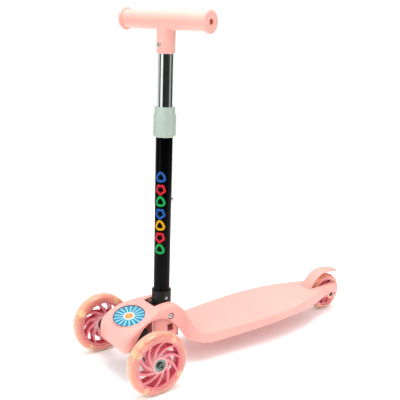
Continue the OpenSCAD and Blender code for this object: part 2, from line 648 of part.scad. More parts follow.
// ---- Column ----
module socket_screw() color(steel) on_column() translate([0, 0, screw_at]) rotate([0, 90, 0]) {
    translate([0, 0, 1 - socket_d / 2]) cylinder(d = screw_d, h = socket_d - 1 - screw_head_h);
    translate([0, 0, socket_d / 2 - screw_head_h]) socket_head(screw_head_d, screw_head_h, 2);
}
module lower_tube() color("#161716") on_column() difference() {
    translate([0, 0, socket_floor])
        tube(lower_tube_d, lower_tube_d - 2 * lower_tube_t, tube_top - socket_floor);
    translate([0, 0, screw_at]) rotate([0, 90, 0])
        cylinder(d = screw_d + 2 * fit, h = 2 * socket_d, center = true);
    for (i = [-1, 0, 1])
        translate([0, 0, button_at + i * height_step]) rotate([-90, 0, 0])
            cylinder(d = button_d + 2 * fit, h = lower_tube_d);
}
module collar() color(mint) on_column() translate([0, 0, collar_at]) rotate([0, 0, collar_turn])
    difference() {
        union() {
            cylinder(d1 = collar_d - 4, d2 = collar_d, h = 2, $fn = 8);
            translate([0, 0, 2]) cylinder(d = collar_d, h = collar_h - 10 - collar_cone, $fn = 8);
            translate([0, 0, collar_h - 8 - collar_cone])
                cylinder(d1 = collar_d, d2 = collar_d - 3.6, h = collar_cone, $fn = 8);
            translate([0, 0, collar_h - 8]) cylinder(d = collar_d - 3.6, h = 8, $fn = 8);
        }
        translate([0, 0, -through]) cylinder(d = lower_tube_d + 4 * fit, h = collar_h - 3);
        cylinder(d = upper_tube_d + 2 * gap, h = 2 * collar_h, center = true);
    }
// Split bush that the collar squeezes on the upper tube
module collet() color("white") on_column() translate([0, 0, tube_top]) difference() {
    tube(lower_tube_d, upper_tube_d + 2 * fit, collar_at + collar_h - 5 - tube_top);
    translate([-1, 0, 2]) cube([2, lower_tube_d, collar_h]);
}
module upper_tube() color("#d5dadb") on_column() difference() {
    translate([0, 0, upper_bottom])
        tube(upper_tube_d, upper_tube_d - 2 * upper_tube_t, upper_top - upper_bottom);
    translate([0, 0, button_at]) rotate([-90, 0, 0]) cylinder(d = button_d + 2 * fit, h = upper_tube_d);
    translate([0, 0, bolt_at]) rotate([0, 0, handle_turn]) rotate([90, 0, 0])
        cylinder(d = screw_d + 2 * fit, h = 2 * upper_tube_d, center = true);
}
// Leaf spring inside the upper tube: a strip bent into a U
module snap_spring() color(steel) on_column() translate([0, 0, button_at]) {
    for (side = [-1, 1])
        translate([-leaf_w / 2, side * (leaf_r - leaf_t / 2) - leaf_t / 2, -8]) cube([leaf_w, leaf_t, 13]);
    translate([0, 0, -8]) intersection() {
        rotate([0, 90, 0]) translate([0, 0, -leaf_w / 2]) tube(2 * leaf_r, 2 * (leaf_r - leaf_t), leaf_w);
        translate([-leaf_w, -2 * leaf_r, -2 * leaf_r]) cube([2 * leaf_w, 4 * leaf_r, 2 * leaf_r]);
    }
}
module snap_button() color(steel) on_column() translate([0, leaf_r, button_at]) rotate([-90, 0, 0]) {
    reach = lower_tube_d / 2 + button_tip - leaf_r;
    cylinder(d = button_d, h = reach - button_d / 4);
    translate([0, 0, reach - button_d / 2]) sphere(d = button_d, $fn = 32);
}

// ---- T handle ----
module on_handle() on_column() translate([0, 0, handle_at]) rotate([0, 0, handle_turn]) children();
module handle() color(pink) on_handle() difference() {
    union() {
        rotate([0, 90, 0]) cylinder(d = grip_d, h = handle_l - 2 * flange_t, center = true);
        translate([0, 0, -stem_l - grip_d / 2]) cylinder(d = stem_d, h = stem_l + grip_d / 2);
        translate([0, 0, bolt_at - handle_at]) rotate([90, 0, 0]) cylinder(d = 14, h = stem_d / 2 + 3);
    }
    for (side = [-1, 1])
        rotate([0, 90, 0]) translate([0, 0, side * (stem_d / 2 + 3 + handle_l / 2)])
            cylinder(d = plug_d, h = handle_l, center = true);
    translate([0, 0, -handle_l - 6]) cylinder(d = upper_tube_d + 2 * fit, h = handle_l);
    translate([0, 0, bolt_at - handle_at]) rotate([90, 0, 0]) {
        cylinder(d = screw_d + 2 * fit, h = 2 * stem_d, center = true);
        translate([0, 0, stem_d / 2 + 1]) cylinder(d = 8, h = stem_d);
    }
}
module end_cap(side) color(pink) on_handle() rotate([0, 0, side > 0 ? 0 : 180]) rotate([0, 90, 0])
    translate([0, 0, handle_l / 2 - flange_t]) difference() {
        union() {
            cylinder(d = flange_d, h = flange_t - 1);
            cylinder(d = flange_d - 2, h = flange_t);
            translate([0, 0, -plug_l]) cylinder(d = plug_d - 2 * fit, h = plug_l + 1);
        }
        translate([0, 0, -plug_l - through])
            cylinder(d = plug_d - 2 * plug_t, h = plug_l + through + flange_t - cap_skin);
        cylinder(d = end_hole_d, h = 3 * plug_l, center = true);
        translate([0, 0, flange_t - cap_chamfer])
            cylinder(d1 = end_hole_d, d2 = end_hole_d + 4 * cap_chamfer, h = 2 * cap_chamfer);
    }
module end_cap_left() end_cap(-1);
module end_cap_right() end_cap(1);
module on_handle_bolt() on_handle() translate([0, 0, bolt_at - handle_at]) rotate([90, 0, 0]) children();
module handle_bolt() color(steel) on_handle_bolt() {
    translate([0, 0, -stem_d / 2 - 4]) cylinder(d = screw_d, h = stem_d + 5);
    translate([0, 0, stem_d / 2 + 1]) socket_head(7, 2.4, 2.5);
}
module handle_nut() color(steel) on_handle_bolt() translate([0, 0, -stem_d / 2 - 3.2]) difference() {
    hex(7, 3.2);
    translate([0, 0, -through]) cylinder(d = screw_d, h = 3.2 + 2 * through);
}

deck();
hood_badge();
steering_beam();
beam_bush();
kingpin();
kingpin_nut();
thrust_washer();
centring_spring_left();
centring_spring_right();
tyre_left();
hub_left();
bearings_left();
spacer_left();
lights_left();
axle_bolt_left();
axle_nut_left();
axle_washer_left();
tyre_right();
hub_right();
bearings_right();
spacer_right();
lights_right();
axle_bolt_right();
axle_nut_right();
axle_washer_right();
rear_tyre();
rear_hub();
rear_bearings();
rear_spacer();
rear_lights();
rear_axle_bolt();
rear_axle_nut();
rear_washers();
brake_fender();
brake_pin();
brake_spring();
knuckle();
fold_bolt();
fold_nut();
release_button();
release_spring();
socket_screw();
lower_tube();
collar();
collet();
upper_tube();
snap_button();
snap_spring();
handle();
end_cap_left();
end_cap_right();
handle_bolt();
handle_nut();
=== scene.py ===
# %% [markdown]
# # A toddler's three-wheeled kick scooter
# The CAD model gives the frame: where each part is, and what moves. This file gives the looks. Each step
# says what a piece is on the real scooter, how it could be made, and why it is made the way it is here.

# %% Load the frame
import json
import math

import bmesh
import bpy
from mathutils import Matrix, Vector

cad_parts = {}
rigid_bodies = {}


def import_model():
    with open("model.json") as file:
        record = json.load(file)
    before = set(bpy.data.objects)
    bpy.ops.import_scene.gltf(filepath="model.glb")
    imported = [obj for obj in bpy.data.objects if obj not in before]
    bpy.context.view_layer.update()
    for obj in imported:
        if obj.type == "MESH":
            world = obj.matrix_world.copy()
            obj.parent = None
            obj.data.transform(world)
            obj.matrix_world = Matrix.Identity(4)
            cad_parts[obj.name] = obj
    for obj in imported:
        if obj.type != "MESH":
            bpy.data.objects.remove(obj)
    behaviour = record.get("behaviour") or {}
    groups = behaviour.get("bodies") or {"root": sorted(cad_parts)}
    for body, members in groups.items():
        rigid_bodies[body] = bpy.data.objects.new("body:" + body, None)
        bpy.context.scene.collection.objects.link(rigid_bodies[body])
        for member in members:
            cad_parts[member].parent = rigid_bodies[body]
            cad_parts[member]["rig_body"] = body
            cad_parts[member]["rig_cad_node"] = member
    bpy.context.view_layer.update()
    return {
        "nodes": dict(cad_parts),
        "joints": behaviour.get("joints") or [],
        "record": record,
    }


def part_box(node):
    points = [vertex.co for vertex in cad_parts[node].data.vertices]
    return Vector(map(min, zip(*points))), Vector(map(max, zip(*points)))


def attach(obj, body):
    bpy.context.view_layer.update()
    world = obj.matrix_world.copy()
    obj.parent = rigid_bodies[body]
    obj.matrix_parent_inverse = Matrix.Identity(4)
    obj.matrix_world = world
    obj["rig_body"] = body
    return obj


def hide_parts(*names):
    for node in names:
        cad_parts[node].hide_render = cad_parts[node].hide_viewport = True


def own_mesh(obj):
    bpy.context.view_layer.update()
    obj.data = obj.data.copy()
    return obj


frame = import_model()
MM = 0.001

# %% [markdown]
# ## Places
# Every place comes from the CAD parts' own boxes. The scooter rides towards -Y. Lengths of the outline are
# counted from the front axle, because that is how a designer would draw the hood around the wheels.

# %% Places taken from the frame
def middle(node):
    low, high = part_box(node)
    return (low + high) / 2


def size(node):
    low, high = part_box(node)
    return high - low


front_axle = Vector((0, middle("hub_left").y, middle("hub_left").z))
rear_axle = middle("rear_hub")
wheelbase = (rear_axle.y - front_axle.y) / MM
front_r = size("tyre_left").z / 2
rear_r = size("rear_tyre").z / 2
tyre_w = size("rear_tyre").x
fold_pivot = Vector((0, middle("fold_bolt").y, middle("fold_bolt").z))
pivot_y = (fold_pivot.y - front_axle.y) / MM
joint = {j["name"]: j for j in frame["joints"]}
column_up = Vector(joint["height"]["axis"])
king_up = Vector(joint["lean_steer"]["axis"])
handle_low, handle_high = middle("end_cap_left"), middle("end_cap_right")
handle_middle = (handle_low + handle_high) / 2
bar_along = (handle_high - handle_low).normalized()
print("wheelbase", round(wheelbase, 1), "mm, front wheel", round(2 * front_r / MM, 1), "mm")


def on_frame(origin, up, along):
    """A matrix whose Z lies along up and whose X lies along `along`, as far as it can."""
    z = Vector(up).normalized()
    x = (Vector(along) - Vector(along).dot(z) * z).normalized()
    turn = Matrix((x, z.cross(x), z)).transposed().to_4x4()
    return Matrix.Translation(origin) @ turn


def at(x, y, z):
    """A point given in millimetres from the front axle's place on the ground."""
    return Vector((x * MM, front_axle.y + y * MM, z * MM))


def span(side, near, far):
    """Two distances from the middle, on one side of it (-1 or 1), lower first."""
    return sorted((side * near, side * far))


WHEELS = ("left", "right", "rear")


def of_wheel(part, side):
    """The name of a wheel's node or body, such as hub_left or rear_hub."""
    return "rear_" + part if side == "rear" else part + "_" + side


def oval(half_x, half_y, steps):
    """Points round an oval, or a circle when the two halves are the same."""
    turns = [math.tau * i / steps for i in range(steps)]
    return [(half_x * math.cos(a), half_y * math.sin(a)) for a in turns]


# %% [markdown]
# ## Modelling helpers
# Turned pieces, such as wheels and tubes, are a closed loop of edges that `spin` carries round an axis. Flat
# pieces are a filled loop that is extruded. Both then get rounded edges from a Bevel modifier, because no
# moulded edge is perfectly sharp, and a rounded edge is what catches the light.

# %% Selecting and shaping
def fresh():
    if bpy.context.mode != "OBJECT":
        bpy.ops.object.mode_set(mode="OBJECT")
    bpy.ops.object.select_all(action="DESELECT")


def only(piece):
    fresh()
    piece.select_set(True)
    bpy.context.view_layer.objects.active = piece
    return piece


def edit(piece):
    only(piece)
    bpy.ops.object.mode_set(mode="EDIT")
    bpy.ops.mesh.select_all(action="SELECT")


def loop_of(name, points):
    """A closed loop of edges with one vertex at each point, in millimetres."""
    fresh()
    bpy.ops.mesh.primitive_circle_add(vertices=len(points), radius=MM)
    ring = bpy.context.object
    ring.name = ring.data.name = name
    for vertex, point in zip(ring.data.vertices, points):
        vertex.co = Vector(point) * MM
    return ring


def tidy(piece):
    edit(piece)
    bpy.ops.mesh.remove_doubles(threshold=0.00001)
    bpy.ops.mesh.normals_make_consistent(inside=False)
    bpy.ops.object.mode_set(mode="OBJECT")
    return piece


def turned(name, profile, place=Matrix.Identity(4), steps=96):
    """A profile of (along, radius) points in millimetres, spun about the Z axis of `place`."""
    ring = loop_of(name, [(radius, 0, along) for along, radius in profile])
    edit(ring)
    bpy.ops.mesh.spin(steps=steps, angle=math.tau, center=(0, 0, 0), axis=(0, 0, 1))
    tidy(ring)
    ring.data.transform(place)
    return ring


def slab(name, outline, low, high, place=Matrix.Identity(4)):
    """A flat outline of (x, y) points in millimetres, filled and extruded from low to high."""
    ring = loop_of(name, [(x, y, low) for x, y in outline])
    edit(ring)
    bpy.ops.mesh.edge_face_add()
    bpy.ops.mesh.extrude_region_move(TRANSFORM_OT_translate={"value": (0, 0, (high - low) * MM)})
    tidy(ring)
    ring.data.transform(place)
    return ring


def block(name, low, high):
    """A box from one corner to the other, in metres, in the frame."""
    fresh()
    low, high = Vector(low), Vector(high)
    bpy.ops.mesh.primitive_cube_add(size=1, location=(low + high) / 2)
    piece = bpy.context.object
    piece.name = piece.data.name = name
    piece.scale = high - low
    bpy.ops.object.transform_apply(location=True, rotation=True, scale=True)
    return piece


def modify(piece, kind, **settings):
    only(piece)
    modifier = piece.modifiers.new(kind.title(), kind)
    for key, value in settings.items():
        setattr(modifier, key, value)
    bpy.ops.object.modifier_apply(modifier=modifier.name)
    return piece


def rounded(piece, width=0.5, segments=3, angle=35, smooth=40):
    modify(piece, "BEVEL", width=width * MM, segments=segments, limit_method="ANGLE",
           angle_limit=math.radians(angle), use_clamp_overlap=True, harden_normals=False)
    return smoothed(piece, smooth)


def smoothed(piece, angle=40):
    only(piece)
    bpy.ops.object.shade_smooth_by_angle(angle=math.radians(angle))
    return piece


def cut(piece, tool, operation="DIFFERENCE"):
    modify(piece, "BOOLEAN", object=tool, operation=operation, solver="EXACT")
    bpy.data.objects.remove(tool)
    return piece


def joined(name, pieces):
    fresh()
    for piece in pieces:
        piece.select_set(True)
    bpy.context.view_layer.objects.active = pieces[0]
    bpy.ops.object.join()
    pieces[0].name = pieces[0].data.name = name
    return pieces[0]


def copied(name, source, matrix):
    piece = source.copy()
    piece.data = source.data.copy()
    piece.name = piece.data.name = name
    bpy.context.scene.collection.objects.link(piece)
    piece.data.transform(matrix)
    return piece


def own_shape(name, node):
    """A copy of a CAD part with its loose triangles merged into one skin."""
    piece = copied(name, frame["nodes"][node], Matrix.Identity(4))
    piece.parent = None
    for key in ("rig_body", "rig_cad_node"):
        if key in piece:
            del piece[key]
    edit(piece)
    bpy.ops.mesh.remove_doubles(threshold=0.00001)
    bpy.ops.object.mode_set(mode="OBJECT")
    return piece


def eased(name, node, width=0.4, segments=2, angle=35):
    """A CAD part's own shape in clean faces, with rounded edges."""
    piece = own_shape(name, node)
    edit(piece)
    bpy.ops.mesh.dissolve_limited(angle_limit=math.radians(1))
    bpy.ops.object.mode_set(mode="OBJECT")
    return rounded(piece, width, segments, angle)


# %% [markdown]
# An outline is drawn as a few points, as a designer would, and a smooth line is passed through them. A
# reader then answers how wide or how high the outline is at any place along the scooter.

# %% A smooth line through a few given points
def smooth_line(points, steps=6):
    """Catmull-Rom: the line passes through every point."""
    line = []
    last = len(points) - 1
    for i in range(last):
        a, b, c, d = (points[max(0, min(last, k))] for k in (i - 1, i, i + 1, i + 2))
        for j in range(steps):
            t = j / steps
            line.append(tuple(
                0.5 * (2 * q + (r - p) * t + (2 * p - 5 * q + 4 * r - s) * t**2
                       + (3 * q - p - 3 * r + s) * t**3)
                for p, q, r, s in zip(a, b, c, d)))
    return line + [tuple(points[-1])]


def reader(line):
    """Turns a line of (y, value) points into a function of y."""
    def value_at(y):
        if y <= line[0][0]:
            return line[0][1]
        for (y0, v0), (y1, v1) in zip(line, line[1:]):
            if y0 <= y <= y1:
                return v0 + (v1 - v0) * (y - y0) / max(y1 - y0, 1e-9)
        return line[-1][1]
    return value_at


# %% [markdown]
# ## Materials
# Each finish is built from nodes on Object coordinates, which are metres in the scooter's own frame, so a
# grain of half a millimetre has a scale of about 2000. Moulded plastic gets three things: a slow drift in
# its tint, a very fine bump from the mould's surface, and small changes of gloss where hands have been.

# %% Node helpers
def linear(code):
    """A colour written as on the web, as the linear values that shaders use."""
    parts = [int(code[i:i + 2], 16) / 255 for i in (1, 3, 5)]
    return [p / 12.92 if p <= 0.04045 else ((p + 0.055) / 1.055) ** 2.4 for p in parts] + [1]


class Nodes:
    """Short ways to add nodes to a material or to the sky."""

    def __init__(self, tree):
        self.tree = tree

    def node(self, kind, **values):
        node = self.tree.nodes.new("ShaderNode" + kind)
        for key, value in values.items():
            setattr(node, key, value)
        return node

    def link(self, source, target):
        self.tree.links.new(source, target)

    def feed(self, socket, value):
        """Sets a socket to a number or a web colour, or links another node's output to it."""
        if isinstance(value, str):
            socket.default_value = linear(value)
        elif isinstance(value, (int, float)):
            socket.default_value = value
        else:
            self.link(value, socket)

    def math(self, operation, a, b=0):
        node = self.node("Math", operation=operation)
        self.feed(node.inputs[0], a)
        self.feed(node.inputs[1], b)
        return node.outputs[0]

    def distance(self, a, b):
        """How far a point is from the axis that a and b are measured from."""
        return self.math("SQRT", self.math("ADD", self.math("MULTIPLY", a, a), self.math("MULTIPLY", b, b)))

    def ramp(self, factor, stops):
        """Each stop is a place and a web colour, or a place and a grey value."""
        node = self.node("ValToRGB")
        while len(node.color_ramp.elements) < len(stops):
            node.color_ramp.elements.new(0.5)
        for element, (place, colour) in zip(node.color_ramp.elements, stops):
            element.position = place
            element.color = linear(colour) if isinstance(colour, str) else [colour] * 3 + [1]
        self.link(factor, node.inputs["Fac"])
        return node.outputs["Color"]

    def mix(self, factor, a, b, blend="MIX"):
        node = self.node("Mix", data_type="RGBA", blend_type=blend)
        for name, value in (("Factor", factor), ("A", a), ("B", b)):
            self.feed(next(s for s in node.inputs if s.name == name and s.enabled), value)
        return next(s for s in node.outputs if s.enabled)

    def between(self, factor, low, high):
        node = self.node("MapRange")
        node.inputs["To Min"].default_value = low
        node.inputs["To Max"].default_value = high
        self.link(factor, node.inputs["Value"])
        return node.outputs["Result"]


class Finish(Nodes):
    """A material, with what most finishes share."""

    def __init__(self, name, **shader):
        self.material = bpy.data.materials.new(name)
        self.material.use_nodes = True
        super().__init__(self.material.node_tree)
        self.shader = self.tree.nodes["Principled BSDF"]
        self.coords = self.node("TexCoord").outputs["Object"]
        for key, value in shader.items():
            self.shader.inputs[key.replace("_", " ")].default_value = value

    def noise(self, scale, detail=3):
        node = self.node("TexNoise")
        node.inputs["Scale"].default_value = scale
        node.inputs["Detail"].default_value = detail
        self.link(self.coords, node.inputs["Vector"])
        return node.outputs["Fac"]

    def colour(self, socket):
        self.link(socket, self.shader.inputs["Base Color"])

    def gloss(self, low, high, scale=60):
        self.link(self.between(self.noise(scale), low, high), self.shader.inputs["Roughness"])

    def bump(self, *layers):
        """Each layer is (height socket, depth in millimetres)."""
        normal = None
        for height, depth in layers:
            node = self.node("Bump")
            node.inputs["Strength"].default_value = 1
            node.inputs["Distance"].default_value = depth * MM
            self.link(height, node.inputs["Height"])
            if normal:
                self.link(normal, node.inputs["Normal"])
            normal = node.outputs["Normal"]
        self.link(normal, self.shader.inputs["Normal"])

    def mould_bump(self, grain=0.012):
        """The fine grain of a mould's surface, and the slow waves that moulded plastic shrinks into."""
        self.bump((self.noise(2600, detail=2), grain), (self.noise(110, detail=2), 0.03))

    def axes(self, place):
        """Coordinates along the three axes of a matrix, in metres."""
        offset = self.node("VectorMath", operation="SUBTRACT")
        offset.inputs[1].default_value = place.translation
        self.link(self.coords, offset.inputs[0])
        found = []
        for axis in range(3):
            dot = self.node("VectorMath", operation="DOT_PRODUCT")
            dot.inputs[1].default_value = place.to_3x3().col[axis]
            self.link(offset.outputs[0], dot.inputs[0])
            found.append(dot.outputs["Value"])
        return found


# %% [markdown]
# Polypropylene, nylon, ABS and acetal differ in tint, gloss and grain, so one function makes all of them.
# The hubs are clear plastic: they add a little transmission, with painted shade in their webs and a painted
# highlight on their ridges.

# %% Moulded plastics
# The handle's tints are a paler copy of the deck's pink: painted light, so that the handle reads brighter.
LIT_HANDLE_TINTS = "#f9b8ac", "#fbbeb2"
PLASTIC_DEPTH = {"Subsurface_Scale": 0.004, "Subsurface_Radius": (1, 0.45, 0.35)}


def moulded(name, tints, roughness, grain=0.012, subsurface=0.0):
    finish = Finish(name, Subsurface_Weight=subsurface, **PLASTIC_DEPTH)
    drift = finish.noise(9, detail=4)
    finish.colour(finish.ramp(drift, [(0.3, tints[0]), (0.7, tints[1])]))
    finish.gloss(roughness - 0.05, roughness + 0.07)
    finish.mould_bump(grain)
    return finish.material


pink = moulded("pale_pink_polypropylene", ("#f7a79d", "#f9ada3"), 0.38, subsurface=0.1)
lit_handle_pink = moulded("handle_pink_painted_lighter", LIT_HANDLE_TINTS, 0.34, subsurface=0.1)
black_plastic = moulded("black_glass_filled_nylon", ("#161816", "#1e201e"), 0.45, grain=0.03)
black_plastic.node_tree.nodes["Principled BSDF"].inputs["Specular IOR Level"].default_value = 0.25
mint = moulded("pale_mint_abs", ("#aabcae", "#b6c6b9"), 0.25, grain=0.006, subsurface=0.05)
acetal = moulded("natural_white_acetal", ("#e9e8e2", "#f3f2ee"), 0.4)


def hub_plastic(name, centre, radius):
    """Clear pink plastic, with painted shade deep in the webs and a painted highlight on the ridges of the
    vanes, paler towards the boss.
    """
    finish = Finish(name, Subsurface_Weight=0.25, Subsurface_Scale=0.005, Subsurface_Radius=(1, 0.4, 0.35),
                    Coat_Weight=0.2, Coat_Roughness=0.1, Transmission_Weight=0.12)
    x, y, z = finish.axes(Matrix.Translation(centre))
    share = finish.math("ADD", finish.math("DIVIDE", finish.distance(y, z), radius),
                        finish.between(finish.noise(60), -0.06, 0.06))
    # Painted shade in the webs and a painted highlight on the vanes' ridges, mixed by height along the axle.
    painted_web_shade = finish.ramp(share, [(0.25, "#f2a3a8"), (0.5, "#e9707e"), (0.9, "#e75f70")])
    painted_ridge_highlight = finish.ramp(share, [(0.25, "#f8b4b4"), (0.5, "#f59da2"), (0.9, "#f18b92")])
    height = finish.ramp(finish.math("DIVIDE", finish.math("ABSOLUTE", x), size("hub_left").x / 2),
                         [(0.35, 0.0), (0.8, 1.0)])
    finish.colour(finish.mix(height, painted_web_shade, painted_ridge_highlight))
    finish.gloss(0.2, 0.32)
    finish.mould_bump(grain=0.006)
    return finish.material


hub_finish = {}
for side in WHEELS:
    node = of_wheel("hub", side)
    hub_finish[side] = hub_plastic("clear_pink_" + side, middle(node), size(node).z / 2)


# %% [markdown]
# Metals are a tint, a gloss and very fine scratches, drawn out along one axis by stretching the noise.

# %% Metals
def metal(name, tints, roughness, scratch_scale=(400, 400, 400), scratch=0.004):
    finish = Finish(name, Metallic=1.0)
    finish.colour(finish.ramp(finish.noise(120), [(0.3, tints[0]), (0.7, tints[1])]))
    finish.gloss(roughness * 0.7, roughness * 1.4, 300)
    stretch = finish.node("Mapping")
    stretch.inputs["Scale"].default_value = scratch_scale
    finish.link(finish.coords, stretch.inputs["Vector"])
    lines = finish.node("TexNoise")
    lines.inputs["Scale"].default_value = 1
    lines.inputs["Detail"].default_value = 3
    finish.link(stretch.outputs["Vector"], lines.inputs["Vector"])
    finish.bump((lines.outputs["Fac"], scratch))
    return finish.material


zinc = metal("bright_zinc_plate", ("#c3c9c6", "#dfe3e0"), 0.28, (900, 900, 900))
spring_wire = metal("drawn_spring_wire", ("#8f9496", "#a9adaf"), 0.35, (1500, 1500, 200))
race_steel = metal("greenish_grey_bearing_steel", ("#84948a", "#9ba89f"), 0.4, (600, 600, 600))
# Darkened zinc: painted shade, for the ring in the fold bolt's counterbore and the axle bolts' hex sockets.
shade_dark_zinc = metal("zinc_darkened_as_painted_shade", ("#4d5852", "#69736d"), 0.35, (900, 900, 900))
turned_alloy = metal("turned_aluminium", ("#d4d6d8", "#e4e6e8"), 0.3, (3000, 300, 300))
chrome = metal("polished_chrome", ("#d8e2dc", "#e6eee9"), 0.04, (200, 200, 2500), 0.0006)

# %% [markdown]
# ## The tyres' clear urethane
# The tyres are cast from clear peach-tinted polyurethane. Light enters, scatters a little and leaves warmer,
# and the thin outer edge looks paler than the thick part over the rim. Full glass would be too clear and
# paint too dull, so the shader mixes part transmission with a tint that depends on the distance from the
# wheel's own axle.

# %% Clear urethane
LAMPS, LAMP_TURN = 4, math.radians(35)  # lamp modules in a wheel, and the turn of the first


def urethane(name, centre, radius, thickness):
    finish = Finish(name, Roughness=0.16, IOR=1.46, Transmission_Weight=0.3, Subsurface_Weight=0.3,
                    Subsurface_Scale=0.006, Subsurface_Radius=(1, 0.5, 0.3), Coat_Weight=0.7,
                    Coat_Roughness=0.05)
    x, y, z = finish.axes(Matrix.Translation(centre))
    above_rim = finish.math("SUBTRACT", finish.distance(y, z), radius - thickness)
    share = finish.math("DIVIDE", above_rim, thickness)
    cloudy = finish.math("ADD", share, finish.between(finish.noise(70), -0.14, 0.14))
    tint = finish.ramp(cloudy, [(0.0, "#f08d84"), (0.55, "#f49a8b"), (0.88, "#f5a88f"), (1.0, "#f3c2a0")])
    lamps = finish.math("COSINE", finish.math("MULTIPLY", finish.math("SUBTRACT", finish.math(
        "ARCTAN2", y, z), LAMP_TURN), LAMPS))
    glow = finish.ramp(finish.math("ADD", lamps, finish.between(finish.noise(260), -0.25, 0.25)),
                       [(0.86, 0.0), (1.1, 0.55)])
    # Painted glints: small pale spots over the tyre.
    painted_glints = finish.ramp(finish.noise(520, detail=1), [(0.64, 0.0), (0.7, 0.8)])
    finish.colour(finish.mix(painted_glints, finish.mix(glow, tint, "#fbe6ae"), "#ffe9c4"))
    finish.bump((finish.noise(45), 0.05), (finish.noise(1800, detail=1), 0.004))
    return finish.material


tyre_finish = {"rear": urethane("clear_urethane_rear", rear_axle, rear_r, 0.011)}
for side in ("left", "right"):
    tyre_finish[side] = urethane("clear_urethane_" + side, middle("tyre_" + side), front_r, 0.014)


# %% [markdown]
# The lamps shine through the tyre. A cell pattern stands for the facets moulded in their lenses.

# %% Lamp modules
def lamp_glow():
    finish = Finish("lamp_lens", Roughness=0.3, Emission_Strength=0.7, Subsurface_Weight=0.3)
    cells = finish.node("TexVoronoi")
    cells.inputs["Scale"].default_value = 420
    finish.link(finish.coords, cells.inputs["Vector"])
    glow = finish.ramp(cells.outputs["Distance"], [(0.1, "#fffdf0"), (0.6, "#f7e58c")])
    finish.colour(glow)
    finish.link(glow, finish.shader.inputs["Emission Color"])
    finish.bump((cells.outputs["Distance"], 0.05))
    return finish.material


lamp = lamp_glow()

# %% [markdown]
# ## The printed pieces
# The badge carries a plain sunburst: wedges around a centre, made by folding the angle with a sine. The lower
# tube carries a column of coloured rings with glitter in the ink. Both are drawn by distance and angle in the
# piece's own axes, so they stay put whatever the camera does.

# %% Sunburst badge
slope = math.radians(17.3)
badge_place = on_frame(middle("hood_badge"), (0, -math.sin(slope), math.cos(slope)), (1, 0, 0))
badge_half = size("hood_badge").x / 2
badge_long, badge_wide, badge_gap = 34.8, 26.9, 0.25  # the foil's two half sizes, and the room round it
RAYS, SUN_POINTS = 17, 8


def sunburst():
    finish = Finish("sunburst_print", Roughness=0.2, Coat_Weight=0.6, Coat_Roughness=0.04)
    x, y, z = finish.axes(badge_place)
    y = finish.math("MULTIPLY", y, size("hood_badge").x / (size("hood_badge").y / math.cos(slope)))
    along, across = finish.math("SUBTRACT", x, 0.002), finish.math("ADD", y, 0.001)
    angle = finish.math("ARCTAN2", across, along)
    distance = finish.math("DIVIDE", finish.distance(along, across), badge_half)
    wave = finish.math("SINE", finish.math("MULTIPLY", angle, RAYS))
    rays = finish.ramp(finish.between(finish.math("ADD", wave, finish.between(finish.noise(300), -0.3, 0.3)),
                                      -0.2, 1.2), [(0.38, "#0a82a6"), (0.56, "#a4e0e6")])
    sky = finish.mix(finish.ramp(distance, [(0.3, 0.0), (0.95, 0.5)]), rays, "#0a7fa4")
    disc = finish.ramp(finish.math("ADD", distance, finish.math("MULTIPLY", finish.math(
        "SINE", finish.math("MULTIPLY", angle, SUN_POINTS)), 0.018)), [(0.24, 1.0), (0.26, 0.0)])
    halo = finish.ramp(distance, [(0.33, 1.0), (0.36, 0.0)])
    sun = finish.mix(finish.ramp(distance, [(0.0, 0.0), (0.2, 1.0)]), "#f3bd5e", "#d9771f")
    picture = finish.mix(disc, finish.mix(halo, sky, "#e9e2d2"), sun)
    rim = finish.ramp(distance, [(0.94, 0.0), (0.96, 1.0)])
    finish.colour(finish.mix(rim, picture, "#0c3f56"))
    finish.bump((finish.noise(1500), 0.004))
    return finish.material


badge_print = sunburst()

# %% [markdown]
# The rings bulge three or five times around, so that they read as simple flowers.

# %% Black tube with printed rings
print_facing = math.radians(36)
print_low, print_step = 0.118, 0.0212  # the lowest ring above the fold, and from ring to ring, in metres
ring_r, petal_h = 0.0071, 0.0008
GREEN, RED, YELLOW, BLUE = "#1fa552", "#d42b38", "#dba41c", "#2a5fae"
print_colours = GREEN, RED, YELLOW, BLUE, GREEN, RED, BLUE


def printed_black():
    finish = Finish("gloss_black_powder_coat", Specular_IOR_Level=0.06, Coat_Weight=0.02, Coat_Roughness=0.1)
    facing = Vector((math.sin(print_facing), -math.cos(print_facing), 0))
    place = on_frame(fold_pivot, column_up, facing)
    x, y, z = finish.axes(place)
    tube_r = size("lower_tube").x / 2
    around = finish.math("MULTIPLY", finish.math("ARCTAN2", y, x), tube_r)
    glitter = finish.ramp(finish.noise(1400, detail=1), [(0.45, 0.75), (0.65, 1.25)])
    base = finish.ramp(finish.noise(40), [(0.3, "#030303"), (0.7, "#070707")])
    for row, colour in enumerate(print_colours):
        height = print_low + row * print_step
        v = finish.math("SUBTRACT", z, height)
        distance = finish.distance(around, v)
        petals = finish.math("MULTIPLY", finish.math("SINE", finish.math(
            "MULTIPLY", finish.math("ARCTAN2", v, around), 5 if row % 2 else 3)), petal_h)
        wavy = finish.math("ADD", distance, petals)
        off_ring = finish.math("ABSOLUTE", finish.math("SUBTRACT", wavy, ring_r))
        mask = finish.ramp(finish.math("MULTIPLY", off_ring, 100), [(0.19, 1.0), (0.23, 0.0)])
        base = finish.mix(mask, base, colour)
    finish.colour(finish.mix(1, base, glitter, blend="MULTIPLY"))
    finish.gloss(0.16, 0.24)
    finish.bump((finish.noise(500, detail=1), 0.006), (finish.noise(40), 0.02))
    return finish.material


black_paint = printed_black()
print("materials:", len(bpy.data.materials))


# %% [markdown]
# Each finished piece takes its material, rides on the body that carries it, and replaces its CAD parts.

